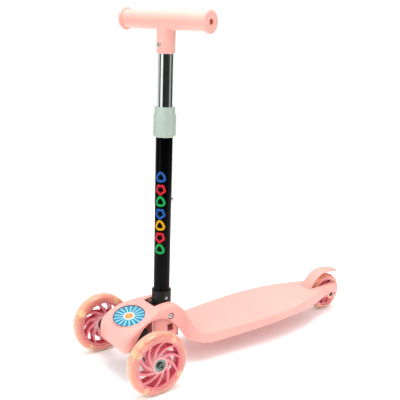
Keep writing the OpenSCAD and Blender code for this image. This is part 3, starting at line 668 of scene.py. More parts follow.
# %% Putting a finished piece on its body
def seat(piece, body, finish, slot, *nodes):
    piece.data.materials.clear()
    piece.data.materials.append(finish)
    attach(piece, body)
    if nodes:
        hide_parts(*nodes)
    print(f"{piece.name}: {len(piece.data.polygons)} faces on {body}")
    return piece


# %% [markdown]
# ## The deck and hood
# One moulding runs from the nose to the fork. It could be cut from a block, but its top and sides run into
# each other in one sweep, so it is lofted: a grid whose rows are moved to cross-sections. Each section is a
# flat top, a rounded shoulder and a side wall, and its width, top and lower edge are smooth lines along the
# scooter. Solidify then gives the sheet its wall.

# %% Outline of the moulding, in millimetres from the front axle
nose_y, nose_sill, hood_z, deck_z = -30, 58, 117.5, 53.5
deck_half, nose_half, waist_half = size("deck").x / 2 / MM, 51.0, 33.0
fork_half, fork_end, deck_front = 26.5, wheelbase + 16, 132
rear_top = deck_z + 4.5
shell_t = 3

half_width = reader(smooth_line([
    (nose_y - 1.5, 33), (nose_y - 0.6, 39), (nose_y + 2, 44.5), (nose_y + 6, 48.2), (nose_y + 12, 50.6),
    (nose_y + 25, nose_half), (nose_y + 45, 47.2), (pivot_y - 38, 42.5),
    (pivot_y - 12, waist_half + 1.5),
    (pivot_y + 6, waist_half), (pivot_y + 20, waist_half + 2.5), (deck_front - 30, deck_half - 22),
    (deck_front - 12, deck_half - 13), (deck_front + 10, deck_half - 10), (deck_front + 40, deck_half - 8),
    (deck_front + 90, deck_half - 3), (wheelbase - 185, deck_half), (wheelbase - 145, deck_half - 2.5),
    (wheelbase - 100, deck_half - 10), (wheelbase - 60, deck_half / 2 + 10.3),
    (wheelbase - 28, fork_half + 5),
    (wheelbase - 4, fork_half + 0.3), (fork_end - 3, fork_half - 1), (fork_end, fork_half - 3)]))
crest_line = smooth_line([
    (nose_y - 1.5, 76), (nose_y - 0.6, 79.5), (nose_y + 2, 83), (nose_y + 5, 87), (nose_y + 17, 96.5),
    (5, 103),
    (24, 109.5), (45.2, 115.5), (pivot_y - 8, hood_z), (pivot_y + 6, hood_z - 0.6), (pivot_y + 17, 112),
    (pivot_y + 26, 103), (deck_front - 29, 88.5), (deck_front - 22, 74.5), (deck_front - 13, 62.5),
    (deck_front, deck_z + 1.5), (deck_front + 16, deck_z + 0.2), (deck_front + 70, deck_z + 0.9),
    (wheelbase / 2 + 60, deck_z + 2), (wheelbase - 100, deck_z + 3.2), (wheelbase - 30, deck_z + 4),
    (fork_end - 4, rear_top - 1), (fork_end, rear_top - 5)], steps=8)
crest = reader(crest_line)
lower_edge = reader(smooth_line([
    (nose_y - 1.5, nose_sill), (nose_y + 3, nose_sill), (nose_y + 18, nose_sill + 18.5),
    (-2.5, hood_z - 28.5), (7, hood_z - 19.5), (21, hood_z - 15), (36, hood_z - 15.5), (52, hood_z - 19.5),
    (pivot_y - 3, hood_z - 28),
    (pivot_y + 10, hood_z - 40.5), (pivot_y + 18, deck_z + 11), (deck_front - 36, deck_z - 0.5),
    (deck_front - 29, deck_z - 6.5), (deck_front - 23, 43.5), (deck_front - 11, 39), (deck_front + 6, 35.5),
    (deck_front + 25, 34.5), (deck_front + 110, 38), (wheelbase - 145, 41.5), (wheelbase - 68, 38.5),
    (wheelbase - 40, 40.5), (fork_end, 41)]))
shoulder = reader([(-20, 9), (60, 8.5), (90, 8), (112, 6), (150, 4.5), (430, 4.5), (fork_end, 4)])
print("deck:", round(2 * deck_half, 1), "mm wide, hood:", hood_z, "mm high")


# %% [markdown]
# One function gives the points of any cross-section, and another moves a grid's rows onto them.

# %% Lofting the sheet
def section(y, inset, floor):
    """Points across one cross-section, from one lower edge over the top to the other."""
    w, top = half_width(y) - inset, crest(y) - inset
    low = lower_edge(y) if floor is None else floor
    r = min(shoulder(y), (top - low) * 0.45)
    half = [(w, low + (top - r - low) * i / 5) for i in range(5)]
    half += [(w - r + r * math.cos(a), top - r + r * math.sin(a))
             for a in (math.pi / 2 * i / 8 for i in range(9))]
    half += [((w - r) * (1 - i / 8), top) for i in range(1, 9)]
    return half + [(-x, z) for x, z in reversed(half[:-1])]


def loft(name, stations, inset=0.0, floor=None):
    """A grid whose rows are moved onto the cross-sections. A floor closes it into a solid."""
    across = len(section(0, inset, floor)) - 1
    fresh()
    bpy.ops.mesh.primitive_grid_add(x_subdivisions=across, y_subdivisions=len(stations) - 1, size=1)
    piece = bpy.context.object
    piece.name = piece.data.name = name
    for row, y in enumerate(stations):
        for column, (x, z) in enumerate(section(y, inset, floor)):
            vertex = piece.data.vertices[row * (across + 1) + column]
            vertex.co = Vector((x * MM, front_axle.y + y * MM, z * MM))
    ends = [[row * (across + 1) + column for column in range(across + 1)] for row in (0, len(stations) - 1)]
    shape = bmesh.new()
    shape.from_mesh(piece.data)
    shape.verts.ensure_lookup_table()
    for end in ends:
        shape.faces.new([shape.verts[i] for i in end])
    if floor is not None:
        left = [row * (across + 1) for row in range(len(stations))]
        right = [i + across for i in left]
        for a, b, c, d in zip(left, left[1:], right[1:], right):
            shape.faces.new([shape.verts[i] for i in (a, b, c, d)])
    bmesh.ops.recalc_face_normals(shape, faces=shape.faces)
    shape.to_mesh(piece.data)
    shape.free()
    return piece


def outwards(piece):
    """Turns a sheet so that the faces of its top look up."""
    top = max(piece.data.polygons, key=lambda f: f.center.z)
    if top.normal.z < 0:
        edit(piece)
        bpy.ops.mesh.flip_normals()
        bpy.ops.object.mode_set(mode="OBJECT")
    return piece


CLOSE_STEP, CLOSE_STEPS = 1.5, 102  # closely spaced sections around the hood's tight curves
stations = {round(y, 2) for y, z in crest_line}
stations |= {round(nose_y + 3 + CLOSE_STEP * i, 2) for i in range(CLOSE_STEPS)}
stations = sorted(stations)
stations = [a for a, b in zip(stations, stations[1:]) if b - a > 0.35] + [stations[-1]]
shell = outwards(loft("deck_shell", stations))
modify(shell, "SOLIDIFY", thickness=shell_t * MM, offset=-1, use_even_offset=False)
print("deck shell:", len(shell.data.polygons), "faces,", len(stations), "sections")


# %% [markdown]
# The openings are cut with Booleans, because they are real cut-outs in the mould: the slot that the column
# folds through, the gap for the rear wheel, the counterbores for the bolts and the shallow seat of the badge.

# %% Cutting the openings
def rod(name, centre, radius, low, high):
    """A round bar across the scooter, in millimetres along X."""
    return slab(name, oval(radius, radius, 48), low, high, on_frame(centre, (1, 0, 0), (0, 1, 0)))


slot_half, slot_front, slot_mid, slot_back = 17.6, pivot_y - 25.3, pivot_y + 20, deck_front - 10
slot_floor, sill_z, over = 53, 74, 130  # heights: two floors of the slot, and a height above the hood
fork_front, fork_gap_half = wheelbase - rear_r / MM - 11.7, 14
fold_seat_r, fold_seat_x = 6.1, 30
axle_seat_r, axle_seat_x = 5.25, 22.5


def cut_openings(piece):
    cut(piece, block("tool", at(-slot_half, slot_front, slot_floor), at(slot_half, slot_mid, over)))
    cut(piece, block("tool", at(-slot_half, pivot_y, sill_z), at(slot_half, slot_back, over)))
    cut(piece, block("tool", at(-fork_gap_half, fork_front, 10), at(fork_gap_half, fork_end + 20, 90)))
    for side in (1, -1):
        cut(piece, rod("tool", fold_pivot, fold_seat_r, *span(side, fold_seat_x, 2 * fold_seat_x)))
        cut(piece, rod("tool", rear_axle, axle_seat_r, *span(side, axle_seat_x, 2 * axle_seat_x)))


cut_openings(shell)
badge_edge = oval(badge_half / MM * 1.004, badge_wide + badge_gap, 96)
cut(shell, slab("tool", badge_edge, -0.6, 20, badge_place))
rounded(shell, 0.5, 2, angle=50, smooth=35)
print("deck shell with its openings:", len(shell.data.polygons), "faces")

# %% [markdown]
# Inside the hood, two walls and a floor box in the column, a post holds the kingpin, and ribs stiffen the
# deck. They stop just inside the outer skin, so a copy of the loft, a little smaller and closed below,
# trims them with an intersection.

# %% Walls, post and ribs under the skin
rib_t, box_low, rib_low, fork_low = 2.4, 50, 43, 41
over_deck = 80  # a height above the deck, which the trimming brings down to it
post_r, boss_r, boss_end = 13, 8, 29.8
spring_x, spring_wall_half, spring_wall_y = 29, 9, 28
RIBS_ALONG, RIBS_ACROSS = (-26, 0, 26), 6


def column_box():
    """Walls on all four sides of the column's slot, a floor below it, and the kingpin's post in front."""
    half, front, back = slot_half + shell_t, slot_front - shell_t, slot_mid + shell_t
    parts = []
    for side in (-1, 1):
        low, high = span(side, slot_half, half)
        wall = block("core", at(low, front, box_low), at(high, back, over))
        parts.append(cut(wall, block("tool", at(-40, pivot_y, 62.5), at(40, pivot_y + 12, 75.5))))
    for y0, y1, top in ((front, back, slot_floor), (front, slot_front, over), (slot_mid, back, sill_z)):
        parts.append(block("core", at(-half, y0, box_low), at(half, y1, top)))
    post = slab("core", oval(post_r, post_r, 48), 13.5, 80, on_frame(front_axle, king_up, (1, 0, 0)))
    return parts + [cut(post, block("tool", at(-40, front, 20), at(40, back, 140)))]


def side_walls(side):
    """The seat of a centring spring, the boss of the fold bolt, and a cheek of the fork."""
    low, high = span(side, fork_gap_half, 40)
    spring_seat = at(side * spring_x - spring_wall_half, spring_wall_y, 46)
    spring_top = at(side * spring_x + spring_wall_half, spring_wall_y + shell_t, over)
    return [block("core", spring_seat, spring_top),
            rod("core", fold_pivot, boss_r, *span(side, 20, boss_end)),
            block("core", at(low, fork_front - shell_t, fork_low), at(high, fork_end - 1, over_deck))]


def ribs():
    parts = [block("core", at(-60, fork_front - shell_t, fork_low), at(60, fork_front, over_deck))]
    for x in RIBS_ALONG:
        low = at(x - rib_t / 2, deck_front - 10, rib_low)
        high = at(x + rib_t / 2, fork_front - 1, over_deck)
        parts.append(block("core", low, high))
    for i in range(1, RIBS_ACROSS + 1):
        y = deck_front - 10 + i * (fork_front - deck_front) / (RIBS_ACROSS + 1)
        parts.append(block("core", at(-70, y, rib_low), at(70, y + rib_t, over_deck)))
    return parts


mould = loft("mould", stations[::2] + stations[-1:], inset=1.2, floor=36)
trimmed = []
for part in column_box() + side_walls(-1) + side_walls(1) + ribs():
    trimmer = copied("trimmer", mould, Matrix.Identity(4))
    trimmed.append(rounded(cut(part, trimmer, "INTERSECT"), 0.35, 2, angle=40))
bpy.data.objects.remove(mould)
for side in (-1, 1):
    lug = rod("core", rear_axle, 9.5, *span(side, 14.2, 26))
    cut(lug, rod("tool", rear_axle, axle_seat_r, *span(side, axle_seat_x, 40)))
    trimmed.append(rounded(lug, 1.2, 3))
core = joined("deck_core", trimmed)
seat(shell, "deck", pink, "shell_pink", "deck")
seat(core, "deck", pink, "shell_pink")

# %% [markdown]
# ## The badge
# A thin foil disc, slightly domed, let into the hood. It is an oval loop, extruded, inset and bevelled.

# %% Badge
badge = rounded(slab("badge_foil", oval(badge_long, badge_wide, 96), -0.5, 0.45, badge_place), 0.35, 3)
seat(badge, "deck", badge_print, "badge_print", "hood_badge")

# %% [markdown]
# ## Wheels
# A tyre is turned from a D-shaped profile with a bead that sits in the rim's channel. The hub is a moulding
# with curved vanes. One tenth of it is modelled: a vane, and beside it a web with a tear-shaped window. Then
# it is copied round the axle, as a wheel maker repeats a pattern.

# %% Tyres
bead_half, bead_depth = 4, 1.9
front_tyre_t, rear_tyre_t = 13, 10


def tyre_profile(outer, thick, half=11.0, corner=8.5):
    """One half of a D with a bead, in millimetres, and the same again mirrored."""
    inner = outer - thick
    turns = [math.pi / 2 * i / 12 for i in range(13)]
    edge = [(half * math.sin(a) ** 0.72, outer - corner + corner * max(0.0, math.cos(a)) ** 0.8)
            for a in turns]
    right = edge + [(half, outer - thick * 0.8), (half - 0.1, inner + 1.2), (half - 0.5, inner + 0.3),
                    (half - 1.2, inner), (bead_half, inner), (bead_half, inner - bead_depth)]
    return right + [(-x, r) for x, r in reversed(right) if x > 0]


def wheel_place(side):
    """A wheel's own axes: Z along its axle, outwards."""
    centre = rear_axle if side == "rear" else middle("tyre_" + side)
    return on_frame(centre, (-1 if side == "left" else 1, 0, 0), (0, 0, 1))


for side in WHEELS:
    outer, thick = (rear_r, rear_tyre_t) if side == "rear" else (front_r, front_tyre_t)
    node = of_wheel("tyre", side)
    tyre = smoothed(turned(node + "_cast", tyre_profile(outer / MM, thick), wheel_place(side), 128), 50)
    seat(tyre, of_wheel("wheel", side), tyre_finish[side], "clear_tyre", node)


# %% [markdown]
# A vane is an outline that turns as it runs outwards. A web is a curved grid with its window's faces
# deleted, and a Subdivision modifier rounds the window.

# %% Hub: rim, boss, web and vanes
VANES, VANE_SWEEP = 10, 50  # vanes in a hub, and how far one turns from boss to rim, in degrees
VANE_DIP = 0.168  # how much lower a vane is at its middle, as a share
WINDOW_FROM, WINDOW_TO, WINDOW_HALF = 0.38, 0.88, 0.36  # shares of the web's length, and of its width


def swirl(r, inner, outer, sweep):
    """How far a vane has turned, in degrees, at radius r."""
    return -sweep * max(0.0, (r - inner) / (outer - inner)) ** 0.8


def vane(inner, outer, sweep, thick, half):
    """One curved vane, drawn as an outline in the wheel's plane."""
    rows = 12
    right, left = [], []
    for i in range(rows + 1):
        r = inner + (outer - inner) * i / rows
        a = math.radians(swirl(r, inner, outer, sweep))
        spread = thick / 2 * (1.25 - 0.35 * i / rows) / r
        right.append((r * math.cos(a + spread), r * math.sin(a + spread)))
        left.append((r * math.cos(a - spread), r * math.sin(a - spread)))
    piece = slab("vane", right + left[::-1], -half, half)
    for vertex in piece.data.vertices:
        r = math.hypot(vertex.co.x, vertex.co.y) / MM
        share = max(0.0, min(1.0, (r - inner) / (outer - inner)))
        vertex.co.z *= 1.0 - VANE_DIP * math.sin(math.pi * min(1.0, share * 1.15))
    return rounded(piece, 0.7, 3)


def delete_selected(piece):
    only(piece)
    bpy.ops.object.mode_set(mode="EDIT")
    bpy.ops.mesh.delete(type="FACE")
    bpy.ops.object.mode_set(mode="OBJECT")


def web(inner, outer, sweep, pitch):
    """The web between two vanes, with a tear-shaped window towards the rim."""
    rows, columns = 14, 10
    fresh()
    bpy.ops.mesh.primitive_grid_add(x_subdivisions=columns, y_subdivisions=rows, size=1)
    piece = bpy.context.object
    for row in range(rows + 1):
        for column in range(columns + 1):
            u, v = column / columns, row / rows
            r = inner + (outer - inner) * v
            a = math.radians(swirl(r, inner, outer, sweep) + pitch * u)
            dip = 4.2 * (1 - v) ** 1.5 - 1.2 * math.sin(math.pi * v) * math.sin(math.pi * u)
            piece.data.vertices[row * (columns + 1) + column].co = Vector(
                (r * math.cos(a), r * math.sin(a), dip)) * MM
    edit(piece)
    bpy.ops.mesh.select_mode(type="FACE")
    bpy.ops.mesh.select_all(action="DESELECT")
    bpy.ops.object.mode_set(mode="OBJECT")
    for face in piece.data.polygons:
        row, column = divmod(face.index, columns)
        u, v = (column + 0.5) / columns, (row + 0.5) / rows
        share = min(1, max(0, (v - WINDOW_FROM) / (WINDOW_TO - WINDOW_FROM)))
        face.select = abs(u - 0.5) < WINDOW_HALF * math.sin(math.pi * share) ** 0.7
    delete_selected(piece)
    modify(piece, "SOLIDIFY", thickness=2.6 * MM, offset=0)
    modify(piece, "SUBSURF", levels=1, render_levels=1)
    return piece


def both_ways(profile):
    """A profile's outer half, and the same again mirrored."""
    return profile + [(-along, radius) for along, radius in reversed(profile)]


def hub(name, radius, boss, seat_r, seat_w):
    """A hub with its own Z as its axle; boss and seat are radii of the boss and of the bearing's seat."""
    side = tyre_w / MM / 2
    half = side - 1.2
    rim = turned("rim", [(half, radius), (half, radius - 2.2), (half - 1, radius - 3), (1 - half, radius - 3),
                         (-half, radius - 2.2), (-half, radius), (-bead_half, radius),
                         (-bead_half, radius - bead_depth), (bead_half, radius - bead_depth),
                         (bead_half, radius)], steps=128)
    collar = both_ways([(side - 0.4, boss), (side, boss - 0.6), (side, seat_r), (side - seat_w, seat_r),
                        (side - seat_w, seat_r - 2.5)])
    disc = both_ways([(side - 4.5, boss - 0.5), (side - 3.2, boss + 0.5), (side - 6, boss + 4.5),
                      (0.8, boss + 6)])
    parts = [rounded(rim, 0.4, 2), rounded(turned("boss", collar, steps=96), 0.3, 2),
             smoothed(turned("flare", disc, steps=96), 60)]
    one_vane = vane(boss - 1, radius - 2, VANE_SWEEP, 5.2, half - 1.3)
    one_web = smoothed(web(boss + 2, radius - 1.8, VANE_SWEEP, 360 / VANES), 60)
    for i in range(VANES):
        turn = Matrix.Rotation(math.tau * i / VANES, 4, "Z")
        parts += [copied("vane", one_vane, turn), copied("web", one_web, turn)]
    bpy.data.objects.remove(one_vane)
    bpy.data.objects.remove(one_web)
    return joined(name, parts)


FRONT_BEARING, REAR_BEARING = (11, 4, 7), (9.5, 3, 6)  # outer radius, bore radius and width
front_hub = hub("front_hub", front_r / MM - front_tyre_t, 14.5, FRONT_BEARING[0], FRONT_BEARING[2])
rear_hub = hub("rear_hub_moulded", rear_r / MM - rear_tyre_t, 12.5, REAR_BEARING[0], REAR_BEARING[2])
for side in ("left", "right"):
    seat(copied("hub_moulded_" + side, front_hub, wheel_place(side)), "wheel_" + side, hub_finish[side],
         "hub_pink", "hub_" + side)
bpy.data.objects.remove(front_hub)
rear_hub.data.transform(wheel_place("rear"))
seat(rear_hub, "rear_wheel", hub_finish["rear"], "hub_pink", "rear_hub")


# %% [markdown]
# A ball bearing shows three rings: an outer race, a shield set back a little, and an inner race.

# %% Bearings
def bearing(outer, bore, width, place):
    race = (outer - bore) * 0.18
    h = width / 2
    rings = [
        [(h, outer), (h, outer - race), (-h, outer - race), (-h, outer)],
        [(h, bore + race), (h, bore), (-h, bore), (-h, bore + race)],
        [(h - 0.5, outer - race), (h - 0.35, (outer + bore) / 2), (h - 0.6, bore + race + 0.15),
         (0.6 - h, bore + race + 0.15), (0.35 - h, (outer + bore) / 2), (0.5 - h, outer - race)],
    ]
    return [rounded(turned("ring", ring, place, 64), 0.2, 2) for ring in rings]


def bearing_pair(name, side, outer, bore, width):
    shift = tyre_w / MM / 2 - width / 2
    parts = []
    for s in (-1, 1):
        parts += bearing(outer, bore, width, wheel_place(side) @ Matrix.Translation((0, 0, s * shift * MM)))
    return joined(name, parts)


for side in WHEELS:
    sizes = REAR_BEARING if side == "rear" else FRONT_BEARING
    pair = bearing_pair(of_wheel("bearing_rings", side), side, *sizes)
    seat(pair, of_wheel("wheel", side), race_steel, "bright_steel", of_wheel("bearings", side))

# %% [markdown]
# ## The brake fender
# A curved mudguard over the rear wheel. It is lofted like the deck: a grid whose rows follow the arc over the
# tyre and then run out into a tail. Solidify and Bevel give it a moulded edge.

# %% Brake fender
brake_pin = middle("brake_pin")
fender_gap, fender_half, fender_t = 8.7, 13.0, 3.8
shoe_r = rear_r / MM + fender_gap + 1.7


def fender_line():
    """Points (y, z) in millimetres from the rear axle, from the pin, over the wheel, to the tail."""
    pin = ((brake_pin.y - rear_axle.y) / MM, (brake_pin.z - rear_axle.z) / MM)
    rise = [(pin[0] - 4.2, pin[1] + 1.5), (pin[0] - 2.6, pin[1] + 8)]
    arc = [(shoe_r * math.cos(math.radians(a)), shoe_r * math.sin(math.radians(a)))
           for a in range(148, 88, -6)]
    tail = [(10, shoe_r - 1.5), (20, shoe_r - 3.4), (28.5, shoe_r - 5.6)]
    return smooth_line(rise + arc + tail, 3)


def fender():
    line = fender_line()
    columns = 12
    fresh()
    bpy.ops.mesh.primitive_grid_add(x_subdivisions=columns, y_subdivisions=len(line) - 1, size=1)
    piece = bpy.context.object
    for row, (y, z) in enumerate(line):
        share = row / (len(line) - 1)
        narrow = 1 - 0.32 * max(0.0, (share - 0.9) / 0.1) ** 2
        for column in range(columns + 1):
            u = 2 * column / columns - 1
            crown = -2.6 * abs(u) ** 3
            point = Vector((u * fender_half * narrow, y, z + crown * (0.3 + 0.7 * share)))
            piece.data.vertices[row * (columns + 1) + column].co = rear_axle + point * MM
    outwards(piece)
    modify(piece, "SOLIDIFY", thickness=fender_t * MM, offset=0)
    piece.name = piece.data.name = "fender_band"
    return rounded(piece, 1.0, 3, angle=50)


arm_parts = [fender()]
for side in (-1, 1):
    arm_parts.append(rounded(rod("knuckle_ring", brake_pin, 5, *span(side, 6, fender_half)), 0.6, 2))
seat(joined("fender_moulded", arm_parts), "brake", pink, "shell_pink", "brake_fender")

# %% [markdown]
# ## The handle
# The bar and the stem are one moulding, and the stem flows into the bar. The two are joined and voxel
# remeshed into one skin, and a Smooth modifier then melts the corner between them into a fillet.

# %% Handle bar and stem
bar_half, grip_r, stem_r, stem_low = 85.5, 15.2, 14.8, 53.2
boss_front, washer_front = stem_r + 3, stem_r + 1.2
bolt_up = (middle("handle_bolt") - handle_middle).dot(column_up) / MM
handle_place = on_frame(handle_middle, column_up, bar_along)


def handle_parts():
    bar = turned("bar", [(-bar_half, 0), (-bar_half, grip_r), (bar_half, grip_r), (bar_half, 0)],
                 handle_place @ Matrix.Rotation(math.pi / 2, 4, "Y"), 96)
    stem = turned("stem", [(-stem_low, 0), (-stem_low, stem_r), (-6, stem_r + 0.6), (-2, 0)],
                  handle_place, 96)
    front = handle_place @ Matrix.Translation((0, 0, bolt_up * MM)) @ Matrix.Rotation(math.pi / 2, 4, "X")
    boss = turned("boss", [(0, 0), (0, 7), (boss_front, 7), (boss_front, 4.2), (washer_front, 4.2),
                           (washer_front, 0)], front, 48)
    return [bar, stem, boss]


handle = joined("handle_moulded", handle_parts())
modify(handle, "REMESH", mode="VOXEL", voxel_size=0.8 * MM, use_smooth_shade=True)
modify(handle, "SMOOTH", factor=0.6, iterations=9)
seat(handle, "mast", lit_handle_pink, "shell_pink", "handle")

# %% [markdown]
# The fold bolt's head lies in a counterbore in the side of the hood, on a steel ring in darkened zinc:
# painted shade in the counterbore.

# %% Seat of the fold bolt
bolt_seat = rod("bolt_seat", fold_pivot, fold_seat_r - 0.1, 29.2, 30.4)
cut(bolt_seat, rod("tool", fold_pivot, 3.6, 20, 40))
seat(rounded(bolt_seat, 0.3, 2), "deck", shade_dark_zinc, "bright_steel")

# %% [markdown]
# Each end cap is turned in one piece: a rounded flange with a hole, and a hollow plug that grips the bar's
# bore. Inside the hole it is painted a deeper orange: painted shade where light only reaches through the
# plastic.

# %% End caps
cap_flange = [(-17, 8), (-17, 10.4), (-0.2, 10.4), (-0.2, 17.2), (0.6, 18.3), (2.2, 18.6), (3.6, 18.1),
              (4.3, 16.8), (4.5, 15.2), (4.5, 5.0), (4.0, 4.5), (1.0, 4.5), (1.0, 8)]


def cap_finish():
    finish = Finish("pale_pink_with_painted_hole_shade", Subsurface_Weight=0.12, **PLASTIC_DEPTH)
    x, y, z = finish.axes(handle_place)
    # Painted shade: a deeper orange inside the cap's hole.
    inside = finish.ramp(finish.math("MULTIPLY", finish.distance(y, z), 100), [(0.46, 1.0), (0.5, 0.0)])
    drift = finish.ramp(finish.noise(9), [(0.3, LIT_HANDLE_TINTS[0]), (0.7, LIT_HANDLE_TINTS[1])])
    finish.colour(finish.mix(inside, drift, "#f0623e"))
    finish.gloss(0.33, 0.45)
    finish.mould_bump()
    return finish.material


cap_pink = cap_finish()
for side, name in ((-1, "left"), (1, "right")):
    place = on_frame(handle_middle + side * bar_along * bar_half * MM, side * bar_along, column_up)
    cap = smoothed(turned("cap_moulded_" + name, cap_flange, place, 96), 45)
    seat(cap, "mast", cap_pink, "shell_pink", "end_cap_" + name)

# %% [markdown]
# ## Collar, knuckle, button and hardware
# These keep the CAD part's own shape. A copy is merged into clean faces, and its edges are rounded.

# %% Parts that keep their CAD shape
EASED = [
    ("collar_moulded", "collar", "collar", mint, "mint_plastic", 1.4, 4),
    ("knuckle_moulded", "knuckle", "column", black_plastic, "black_plastic", 0.8, 3),
    ("release_button_moulded", "release_button", "release", black_plastic, "black_plastic", 0.8, 3),
]
for name, node, body, finish, slot, width, segments in EASED:
    seat(eased(name, node, width, segments), body, finish, slot, node)

# %% [markdown]
# The steering beam carries the two wheels. A black block stands on it at each side of the post, over the
# centring springs: painted shade, a dark thing that darkens the inside of the hood. Each block has its upper
# edges rounded.

# %% Steering beam and its black shade blocks
beam_parts = [eased("steering_beam_moulded", "steering_beam", 0.8, 3)]
SHADE_BLOCK_OUTLINE = [(-12, 60), (-12, 79), (-5, 87), (2, 90), (18, 90), (18, 62)]
axle_line = at(0, 0, 0)
for side in (-1, 1):
    # Black blocks as painted shade inside the hood.
    near, far = sorted((side * 17, side * 43))
    shade_block = slab("painted_shade_block", SHADE_BLOCK_OUTLINE, near, far, on_frame(axle_line, (1, 0, 0), (0, 1, 0)))
    beam_parts.append(rounded(shade_block, 3, 4))
beam = joined("steering_beam_moulded", beam_parts)
seat(beam, "steering", black_plastic, "black_plastic", "steering_beam")

# %% [markdown]
# Bolts, nuts and pins are steel. A plated edge is never sharp, so each gets a small bevel.

# %% Bolts, nuts and pins
HARDWARE = ["fold_bolt", "fold_nut", "rear_axle_bolt", "rear_axle_nut", "rear_washers", "brake_pin",
            "kingpin", "kingpin_nut", "thrust_washer", "axle_bolt_left", "axle_bolt_right", "axle_nut_left",
            "axle_nut_right", "axle_washer_left", "axle_washer_right", "socket_screw", "handle_bolt",
            "handle_nut", "snap_button"]
for name in HARDWARE:
    body = frame["nodes"][name]["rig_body"]
    # The axle bolts take the darkened zinc: painted shade for their hex sockets.
    finish = shade_dark_zinc if "axle_bolt" in name else zinc
    seat(eased(name + "_plated", name, 0.25, 2), body, finish, "bright_steel", name)

# %% [markdown]
# A spring cannot follow its joint as a rigid piece, because it gets shorter. Each one keeps the CAD's
# winding, in a mesh of its own. The table gives each spring a joint, an axis and a travel; the centring
# springs and the snap spring have travels further than their joints', because what presses them also tilts or
# has depth, and would cut into the coils.

# %% Springs that keep their CAD winding
SPRINGS = [("centring_spring_left", "lean_steer", (0, 1, 0), 11),
           ("centring_spring_right", "lean_steer", (0, 1, 0), 11),
           ("release_spring", "release_press", (0, 0, -1), 5),
           ("snap_spring", "snap_press", (0, -1, 0), 7)]
slot_of = {row["node"]: row["material_slot"] for row in frame["record"]["subparts"]}
for name, joint_name, axis, travel in SPRINGS:
    spring = smoothed(own_shape(name + "_wound", name), 50)
    seat(spring, frame["nodes"][name]["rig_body"], spring_wire, slot_of[name], name)
    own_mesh(spring)

# %% [markdown]
# Some CAD parts already have the right shape, such as plain tubes. They stay, and only get their finish.

# %% CAD nodes that stay as they are
STAY = {"lower_tube": black_paint, "upper_tube": chrome, "collet": acetal, "beam_bush": acetal,
        "brake_spring": spring_wire}
for side in WHEELS:
    STAY[of_wheel("spacer", side)] = turned_alloy
    STAY[of_wheel("lights", side)] = lamp
for node, finish in STAY.items():
    mesh = frame["nodes"][node].data
    mesh.materials.clear()
    mesh.materials.append(finish)
print("CAD nodes that stay:", len(STAY))

# %% [markdown]
# ## Floor, light and camera
# A plain pale floor and big soft lights, as for a catalogue picture.

# %% Floor
floor_r, floor_y = 0.95, 0.02
fresh()
bpy.ops.mesh.primitive_circle_add(vertices=96, radius=floor_r, fill_type="NGON", location=(0, floor_y, 0))
floor = bpy.context.object
floor.name = "floor"
floor_finish = Finish("pale_floor", Roughness=0.7, Specular_IOR_Level=0.1, Emission_Strength=0.1,
                      Emission_Color=(1, 1, 1, 1))
floor_finish.colour(floor_finish.ramp(floor_finish.noise(3), [(0.3, "#f6f6f6"), (0.7, "#fafafa")]))
floor.data.materials.append(floor_finish.material)
print("floor:", round(floor.dimensions.x, 2), "m across")


# %% [markdown]
# Two softboxes: a large one overhead, and one in front that opens up the shadows.

# %% Lights
def softbox(name, location, target, width, power):
    light = bpy.data.lights.new(name, "AREA")
    light.shape, light.size, light.energy = "SQUARE", width, power
    holder = bpy.data.objects.new(name, light)
    holder.location = location
    holder.rotation_euler = (Vector(target) - Vector(location)).to_track_quat("-Z", "Y").to_euler()
    bpy.context.scene.collection.objects.link(holder)


softbox("top_softbox", (0.15, -0.1, 1.9), (0, 0, 0.2), 0.9, 16)
softbox("front_softbox", (0.5, -1.9, 1.1), (0, 0, 0.25), 1.2, 6)
print("lights:", len(bpy.data.lights))

# %% [markdown]
# The sky does three jobs, and a Light Path node keeps them apart. What the camera sees directly is plain
# white. Diffuse light comes from a sky that is brighter overhead, so that tops are lighter than sides. Shiny
# pieces see upright white boards and black flags, as a photographer stands around chrome.

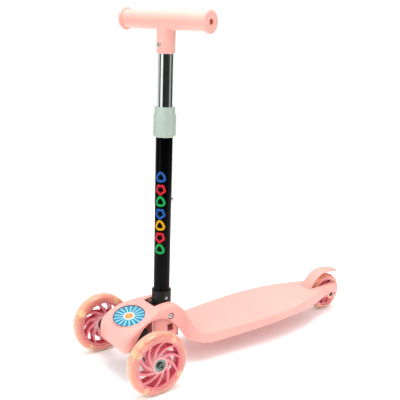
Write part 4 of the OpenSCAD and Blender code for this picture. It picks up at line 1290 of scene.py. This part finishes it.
# %% Sky: walls as angles in degrees and greys, and a dome as heights and greys
WALLS = [(-180, 0.62), (-105, 0.62), (-101, 0.03), (-80, 0.03), (-76, 1.2), (-44, 1.2), (-37, 0.03),
         (30, 0.035), (62, 0.06), (68, 0.42), (96, 0.46), (101, 0.04), (143, 0.04), (150, 0.5), (180, 0.6)]
DOME = [(0.0, 0.9), (0.5, 0.62), (0.62, 0.6), (1.0, 1.75)]
walls_from = math.radians(-33)


def studio_sky():
    world = bpy.data.worlds.new("soft_studio")
    bpy.context.scene.world = world
    world.use_nodes = True
    sky = Nodes(world.node_tree)
    way = sky.node("SeparateXYZ")
    sky.link(sky.node("TexCoord").outputs["Generated"], way.inputs[0])
    angle = sky.math("SUBTRACT", sky.math("ARCTAN2", way.outputs["Y"], way.outputs["X"]), walls_from)
    share = sky.math("FRACT", sky.math("ADD", sky.math("DIVIDE", angle, math.tau), 1.5))
    walls = sky.ramp(share, [((degrees + 180) / 360, grey) for degrees, grey in WALLS])
    height = sky.math("ADD", sky.math("MULTIPLY", way.outputs["Z"], 0.5), 0.5)
    path = sky.node("LightPath")
    seen = sky.mix(path.outputs["Is Glossy Ray"], sky.ramp(height, DOME), walls)
    background = sky.tree.nodes["Background"]
    sky.link(sky.mix(path.outputs["Is Camera Ray"], seen, "#ffffff"), background.inputs["Color"])
    sky.link(background.outputs[0], sky.tree.nodes["World Output"].inputs["Surface"])


studio_sky()
bpy.context.scene.view_settings.view_transform = "Standard"

# %% [markdown]
# The camera looks down a little from the front right.

# %% Camera
camera = bpy.data.objects.new("camera", bpy.data.cameras.new("camera"))
bpy.context.scene.collection.objects.link(camera)
camera_from = Vector((1.01986, -0.80414, 0.63571))
azimuth, elevation, roll = math.radians(54.40), math.radians(15.56), math.radians(0.31)
camera.matrix_world = (Matrix.Translation(camera_from) @ Matrix.Rotation(azimuth, 4, "Z")
                       @ Matrix.Rotation(math.pi / 2 - elevation, 4, "X") @ Matrix.Rotation(roll, 4, "Z"))
camera.data.lens = 65.85
camera.data.sensor_width = 36
bpy.context.scene.camera = camera
